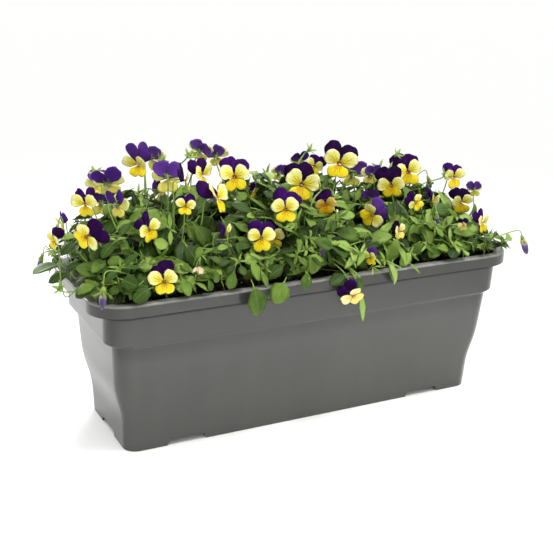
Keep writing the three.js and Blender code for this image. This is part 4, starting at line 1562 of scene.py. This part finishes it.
def makeBudMaterial(values):
    material, tree, shader = newMaterial("violaBud", {"Roughness": 0.55, "Sheen Weight": 0.3})
    wander = noiseOf(tree, objectPlace(tree), 400.0)
    level = calc(tree, "ADD", partOf(tree, uvOf(tree), 1), times(tree, wander, 0.3))
    colour = rampOf(tree, level, [(0.25, values["budFoot"]), (0.5, values["violet"]),
                                  (0.8, values["purple"])])
    fill(tree, shader, {"Base Color": colour})
    return material


# The routes that the part's own stems take

routes = {
    "footReach": 4.2,
    "footHeight": 170.0,
    "rimInside": 0.04,  # stems pass a little inside the edge of the rim, and so high over it
    "rimPass": 7,
    "overRise": 8,  # before the rim they rise more, and flowers outside hang from below it
    "overDrop": 4,
    "neckSink": 0.2,
    "stalkEnd": 6,  # the straight end of a flower's stalk, and how far its knee lies below the flower
    "kneeDrop": 30,
    "kneeLean": (0.12, 0.3),  # from the flower to the foot, and how much more when it nods
    "sideRise": 0.38,
    "tipLeast": 8,  # tips inside end at least this far above the rim
    "shootRise": (0.8, 5),
    "budBend": 4,
}


def stemFoot(crown, x, y):
    heading = math.atan2(y - crown[1], x - crown[0])
    reach = routes["footReach"]
    return Vector((crown[0] + reach * math.cos(heading), crown[1] + reach * math.sin(heading),
                   routes["footHeight"]))


def overRim(foot, x, y):
    # a stem that ends outside the trough first passes over the rim
    size = troughSize / 2
    outside = max(abs(x) / size.x, abs(y) / size.y)
    if outside <= 1:
        return []
    point = Vector((x / outside, y / outside, 0)).lerp(foot, routes["rimInside"])
    point.z = trough["height"] + routes["rimPass"]
    return [point]


def stalkRoute(crown, flower):
    out, size = flower["out"], flower["size"]
    neck = flower["calyx"] / mm - out * routes["neckSink"]
    middle = flower["middle"] / mm
    foot = stemFoot(crown, middle.x, middle.y)
    behind = (flowerPlan["depth"] - flowerPlan["sink"]) * size
    bend = middle - out * (behind + routes["stalkEnd"])
    rim = overRim(foot, middle.x, middle.y)
    if rim:
        rise = foot.lerp(rim[0], 0.5)
        rise.z = rim[0].z + routes["overRise"]
        bend.z = min(bend.z + routes["overDrop"], trough["height"] - routes["overDrop"])
        return [foot, rise, *rim, bend, neck]
    bend.z -= 1
    lean, nodding = routes["kneeLean"]
    knee = bend.lerp(Vector((foot.x, foot.y, bend.z)), lean + nodding * max(0, -out.z))
    knee.z = middle.z - routes["kneeDrop"] * math.sqrt(size)
    side = foot.lerp(knee, 0.5)
    side.z = foot.z + (knee.z - foot.z) * routes["sideRise"]
    return [foot, side, knee, bend, neck]


def shootRoute(crown, tip):
    foot = stemFoot(crown, tip[0], tip[1])
    end = Vector(tip)
    rim = overRim(foot, tip[0], tip[1])
    side = foot.lerp(rim[0] if rim else end, 0.5)
    share, lift = routes["shootRise"]
    side.z = foot.z + (max(end.z, trough["height"] + routes["tipLeast"]) - foot.z) * share + lift
    return [foot, side, *rim, end]


def budRoute(crown, tip, rise):
    # the stalk of a closed bud rises past its end and nods over
    *route, end = shootRoute(crown, tip)
    back = route[-1] - end
    back.z = 0
    return [*route, end + back.normalized() * routes["budBend"] + Vector((0, 0, rise)), end]


# What has to stay clear of leaves

def clearRays():
    # lines before each flower along its own axis and towards the viewer,
    # and from each listed leaf and star towards the viewer: start, direction, reach and room
    eye = Vector(cameraPlace["location"]) / mm
    rays = []

    def towardsViewer(start, room):
        rays.append((start, (eye - start).normalized(), greens["viewReach"], room))

    chin, chinShare = greens["chin"]
    for flower in flowers.values():
        middle, size = flower["middle"] / mm, flower["size"]
        room = greens["faceRoom"] * size
        rays.append((middle, flower["out"], greens["faceReach"], room))
        towardsViewer(middle, room)
        towardsViewer(middle - flower["up"] * chin * size, room * chinShare)
    for plant in plants.values():
        for x, y, z, turn, pitch, length, *_ in plant.get("leaves", []):
            middle = Vector((x, y, z)) + towards(turn, pitch) * length * greens["leafMiddle"]
            towardsViewer(middle, length * greens["leafRoom"])
        for x, y, z, length, *_ in plant.get("stars", []):
            towardsViewer(Vector((x, y, z)), length * greens["starRoom"])
    return rays


def raysNear(foot):
    # only the clear lines that a leaf growing from here could reach
    near = []
    for row in allRays:
        gap = foot - row[0]
        along = max(0.0, min(row[2], gap.dot(row[1])))
        if (gap - row[1] * along).length_squared < greens["nearRoom"] ** 2:
            near.append(row)
    return near


def blocksFace(points, rays):
    for middle, ray, reach, room in rays:
        for point in points:
            gap = point - middle
            along = gap.dot(ray)
            if -4 < along < reach and gap.length_squared - along * along < room * room:
                return True
    return False


def crossesPetals(leaf):
    # whether the leaf would pass through the open petals of a flower near its foot
    depth, reach = greens["petalDepth"], greens["petalReach"]
    discs = [(flower["middle"] / mm, flower["out"], depth, reach * flower["size"])
             for flower in flowers.values()
             if (flower["middle"] / mm - leaf[0]).length < greens["petalsNear"]]
    return blocksFace(leafPoints(leaf, (0.35, 0.48, 0.61, 0.74, 0.87, 1.0)), discs)


def clearOfTrough(points):
    # inside the rim down to the soil, and above it elsewhere
    size = troughSize / 2
    rimX, rimY = greens["rimWidth"]
    for point in points:
        inside = abs(point.x) < size.x - rimX and abs(point.y) < size.y - rimY
        if point.z < (greens["lowestInside"] if inside else trough["height"] + greens["rimClear"]):
            return False
    return True


def canopyAt(x, y):
    # how high the leaves reach: tallest along the middle of the trough, lower towards its ends
    (west, east), (reachX, reachY) = greens["canopySpan"], greens["canopyReach"]
    past = max(0.0, west - x, x - east) / reachX
    fall = (abs(y) / reachY) ** 2 + past ** 2 * greens["canopyEnds"]
    return max(trough["height"] + greens["canopyLeast"], greens["canopy"] - greens["canopyFall"] * fall)


# Leaves: a leaf is its foot, the way it points, the way its face looks, its length and its kind

def facingAt(place, draw, spread):
    # leaves face up and out over the nearer long side, and out over an end close to it
    size = troughSize / 2
    out, up = greens["facing"]
    least, more = greens["sideLook"]
    sideways = math.copysign(least + more * abs(place.y) / size.y, place.y)
    level = Vector(((place.x / size.x) ** 3 * greens["endLook"], sideways, 0)).normalized()
    scatter = Vector(draw.gauss(0, spread) for _ in range(3))
    return (level * out + Vector((0, 0, up)) + scatter).normalized()


def leafRow(leaf, tone):
    foot, ahead, normal, length, kind = leaf
    side = ahead.cross(normal).normalized()
    facing = Matrix((side, ahead, side.cross(ahead))).transposed()
    return foot, facing, length / leafKinds[kind][1], list(leafKinds).index(kind), tone


def leafPoints(leaf, shares=(0.4, 0.7, 1.0)):
    # a few points along the middle and the edges of where the leaf will lie
    foot, ahead, normal, length, kind = leaf
    _, whole, half, bend = leafKinds[kind][:4]
    side = ahead.cross(normal).normalized() * half * length / whole * 0.9
    points = [foot + ahead * length * 0.2]
    for share in shares:
        middle = foot + ahead * length * share - normal * length * share * share * math.radians(bend) * 0.35
        points += [middle] if share == 1 else [middle, middle + side, middle - side]
    return points


def whorl(axis, count, jitter, lean, draw):
    # leaves that stand round an axis like a star: the way each points and the way its face looks
    side = axis.orthogonal().normalized()
    start = draw.uniform(0, 6.28)
    for i in range(count):
        turn = start + 6.28 * i / count + draw.uniform(-jitter, jitter)
        ray = side * math.cos(turn) + axis.cross(side) * math.sin(turn)
        ahead = (ray + axis * draw.uniform(*lean)).normalized()
        yield ahead, squareTo(axis, ahead)


def addStipules(foot, axis, draw, rows, count, rays):
    # small narrow leaves round a joint of the stem
    for ahead, normal in whorl(axis, count, 0.3, (0.2, 0.9), draw):
        length = greens["stipuleLength"] * draw.uniform(*greens["stipuleSpread"])
        if not blocksFace([foot + ahead * length * 0.5, foot + ahead * length], rays):
            rows.append(leafRow((foot, ahead, normal, length, "stipule"), draw.uniform(0.6, 1.0)))


def addStar(star, draw, rows):
    # a star of leaves round the top of a shoot, open towards the nearer long side
    x, y, z, length, count, kind, tone = star
    foot = Vector((x, y, z))
    rays = [ray for ray in raysNear(foot) if (ray[0] - foot).length > 1]
    axis = facingAt(foot, draw, greens["starScatter"])
    for ahead, normal in whorl(axis, count, 0.2, (0.05, 0.5), draw):
        leaf = foot, ahead, normal, length * draw.uniform(0.75, 1.15), kind
        if not blocksFace(leafPoints(leaf), rays):
            rows.append(leafRow(leaf, tone + draw.uniform(-0.15, 0.15)))
    addStipules(foot, axis, draw, rows, 4, rays)


def drawLeaf(foot, along, age, azimuth, draw):
    # a leaf at a joint of the stem, larger and rounder the older the joint is
    normal = facingAt(foot, draw, greens["leafScatter"])
    level = Vector((0, 0, 1)).cross(normal).normalized()
    turn = math.radians(azimuth)
    ahead = level * math.cos(turn) + level.cross(normal) * math.sin(turn) * 0.9 + along * 0.3
    ahead = (ahead - normal * ahead.dot(normal) * 0.6).normalized()
    small, large = greens["leafSizes"]
    size = (large - (large - small) * max(0.0, 1 - age * 3.0)) * draw.uniform(*greens["sizeSpread"])
    kind = draw.choice(greens["matureKinds"] if age > greens["youngTo"] else greens["tipKinds"])
    if draw.random() < greens["otherShare"]:
        kind = draw.choice(greens["otherKinds"])
    return foot, ahead, normal, leafKinds[kind][1] * size, kind


def leafJoints(whole, start, draw):
    # distances along a shoot and how many leaves stand there
    spot = start * whole
    joints = []
    while spot < whole - 4:
        joints.append((spot, 1 if draw.random() < greens["singleShare"] else 2))
        spot += greens["leafGap"] * draw.uniform(*greens["gapSpread"])
    return [*joints, (whole - 1.5, greens["tipLeaves"])]


def growLeaves(route, draw, start, rows, outside=False):
    path = smoothPath(route, 24)
    lengths = [0.0]
    for a, b in zip(path, path[1:]):
        lengths.append(lengths[-1] + (b - a).length)
    whole = lengths[-1]
    azimuth = draw.uniform(0, 360)
    spread = greens["turnSpread"]
    darkest, rise, lightest = greens["tones"]
    for place, count in leafJoints(whole, start, draw):
        i = max(k for k in range(len(path) - 1) if lengths[k] <= place)
        share = (place - lengths[i]) / max(1e-6, lengths[i + 1] - lengths[i])
        foot = path[i].lerp(path[i + 1], share)
        along = (path[i + 1] - path[i]).normalized()
        age = 1 - place / whole
        rays = raysNear(foot)
        for _ in range(count):
            for _ in range(greens["tries"]):
                azimuth += greens["turnStep"] + draw.uniform(-spread, spread)
                leaf = drawLeaf(foot, along, age, azimuth, draw)
                points = leafPoints(leaf)
                tall = any(point.z > canopyAt(point.x, point.y) + 2 for point in points)
                if not tall and not blocksFace(points, rays) and (outside or clearOfTrough(points)):
                    # leaves are darker towards the foot of a shoot: older leaves are deeper green, and this
                    # is also painted shade for leaves deep in the foliage
                    tone = draw.gauss(darkest + rise * (1 - age), greens["toneScatter"])
                    if not crossesPetals(leaf):
                        rows.append(leafRow(leaf, min(lightest, max(0.0, tone))))
                    break
        if age < 0.5 and clearOfTrough([foot]):
            addStipules(foot, along, draw, rows, 2 if age > 0.05 else 5, rays)


def extraTips(plant, draw):
    # more shoots inside the plot, tallest over the middle of the trough
    west, east, south, north = (edge + margin for edge, margin in zip(plant["plot"], greens["plotMargins"]))
    tips = []
    for _ in range(greens["extraTries"]):
        if len(tips) == greens["extraShoots"]:
            break
        x, y = draw.uniform(west, east), draw.uniform(south, north)
        if any(math.hypot(x - tip[0], y - tip[1]) < greens["extraRoom"] for tip in tips):
            continue
        height = canopyAt(x, y) - draw.uniform(0, greens["tipDrop"])
        tip = (x, y, max(trough["height"] + routes["tipLeast"], height))
        if not blocksFace(smoothPath(shootRoute(plant["crown"], tip), 14)[4:], allRays):
            tips.append(tip)
    return tips


def upright(ahead):
    return ahead.to_track_quat("Z", "Y").to_matrix()


def tapered(radius, kind):
    return [radius * share for share in greens["tapers"][kind]]


def growPlant(name, plant):
    # the lines of all stems and the places of all leaves, cups and bud tips
    draw = random.Random(plant["seed"])
    crown = plant["crown"]
    stem, stalk = greens["stemRadius"], greens["stalkRadius"]
    overStart, insideStart, extraStart = greens["leafStarts"]
    lines, leaves, cups, tips = [], [], [], []
    for node, flower in flowers.items():
        if node.startswith(name + "_"):
            out, size = flower["out"], flower["size"]
            lines.append((smoothPath(stalkRoute(crown, flower), 22), *tapered(stalk, "flower")))
            place = flower["calyx"] / mm + out * 1.2
            cups.append((place, upright(out), size ** 0.5, 0, draw.uniform(0.5, 0.9)))
    for tip in plant["shoots"]:
        route = shootRoute(crown, tip)
        outside = len(route) > 3
        lines.append((smoothPath(route, 20), *tapered(stem, "shoot")))
        if tip[1] > greens["leafyFrom"]:
            growLeaves(route, draw, overStart if outside else insideStart, leaves, outside)
    for tip in extraTips(plant, draw):
        route = shootRoute(crown, tip)
        lines.append((smoothPath(route, 20), *tapered(stem, "extra")))
        growLeaves(route, draw, extraStart, leaves)
    for x, y, z, cupKind, cupSize, size, rise in plant["buds"]:
        path = smoothPath(budRoute(crown, (x, y, z), rise), 28)
        end, nod = path[-1], (path[-1] - path[-2]).normalized()
        lines.append((path, *tapered(stalk, "bud")))
        cups.append((end, upright(nod), cupSize, cupKind, 0.9))
        tips.append((end + nod * 2.0 * cupSize, upright(nod), size, 0, 0.5))
    for x, y, z in plant.get("emptyCups", []):
        place = Vector((x, y, z))
        lean = towards(draw.uniform(-60, 60), 40)
        route = [*shootRoute(crown, (x, y, z - 6))[:-1], place - lean * 6, place]
        lines.append((smoothPath(route, 20), *tapered(stalk, "cup")))
        cups.append((place, upright(lean), 1.5, 0, 1.0))
    for cane in plant.get("canes", []):
        lines.append((smoothPath(cane, 12), *greens["caneRadius"]))
    for star in plant.get("stars", []):
        addStar(star, draw, leaves)
    for x, y, z, turn, pitch, length, kind, tone in plant.get("leaves", []) + plant.get("backLeaves", []):
        foot, ahead = Vector((x, y, z)), towards(turn, pitch)
        normal = squareTo(facingAt(foot, draw, greens["placedScatter"]), ahead)
        leaves.append(leafRow((foot, ahead, normal, length, kind), tone))
    low = Vector((*crown, greens["crownHeight"] - 8))
    high = Vector((*crown, routes["footHeight"] + 1))
    lines.append(([low, low.lerp(high, 0.5), high], *greens["crownRadius"]))
    return lines, {"leaf": leaves, "cup": cups, "budTip": tips}


def makeGreens(plantName, plant, shapes, materials, trees):
    name = plantName.replace("viola_", "viola") + "Greens"
    lines, grown = growPlant(plantName, plant)
    piece = newPiece(name, linesMesh(name, lines))
    addTree(piece, trees["stems"], {"Sides": greens["stemSides"], "Finish": materials["stem"]})
    helpers = []
    for label, rows in grown.items():
        helpers.append(placesPiece(label + "Places", rows))
        addTree(piece, trees["copies"],
                {"Places": helpers[-1], "Shapes": shapes[label], "Finish": materials[label]})
    applyModifiers(piece)
    for helper in helpers:
        bpy.data.objects.remove(helper)
    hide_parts(plantName + "_greens")
    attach(piece, "root")
    print(name, "made:", len(grown["leaf"]), "leaves,", len(piece.data.polygons), "faces")


greenShapes = {
    "leaf": makeCollection("leafShapes", [makeLeaf(f"leaf{i:02d}", kind)
                                          for i, kind in enumerate(leafKinds.values())]),
    "cup": makeCollection("cupShapes", [makeCup(f"cup{i}", *kind)
                                        for i, kind in enumerate(cupParts["kinds"])]),
    "budTip": makeCollection("budShapes", [makeBudTip("budTip0")]),
}
leafMaterial = makeLeafMaterial(greens)
greenMaterials = {"stem": makeStemMaterial(greens), "leaf": leafMaterial, "cup": leafMaterial,
                  "budTip": makeBudMaterial(petalColours)}
greenTrees = {"stems": stemTree(), "copies": copiesTree()}
allRays = clearRays()
for plantName, plant in plants.items():
    makeGreens(plantName, plant, greenShapes, greenMaterials, greenTrees)
for collection in greenShapes.values():
    dropCollection(collection)
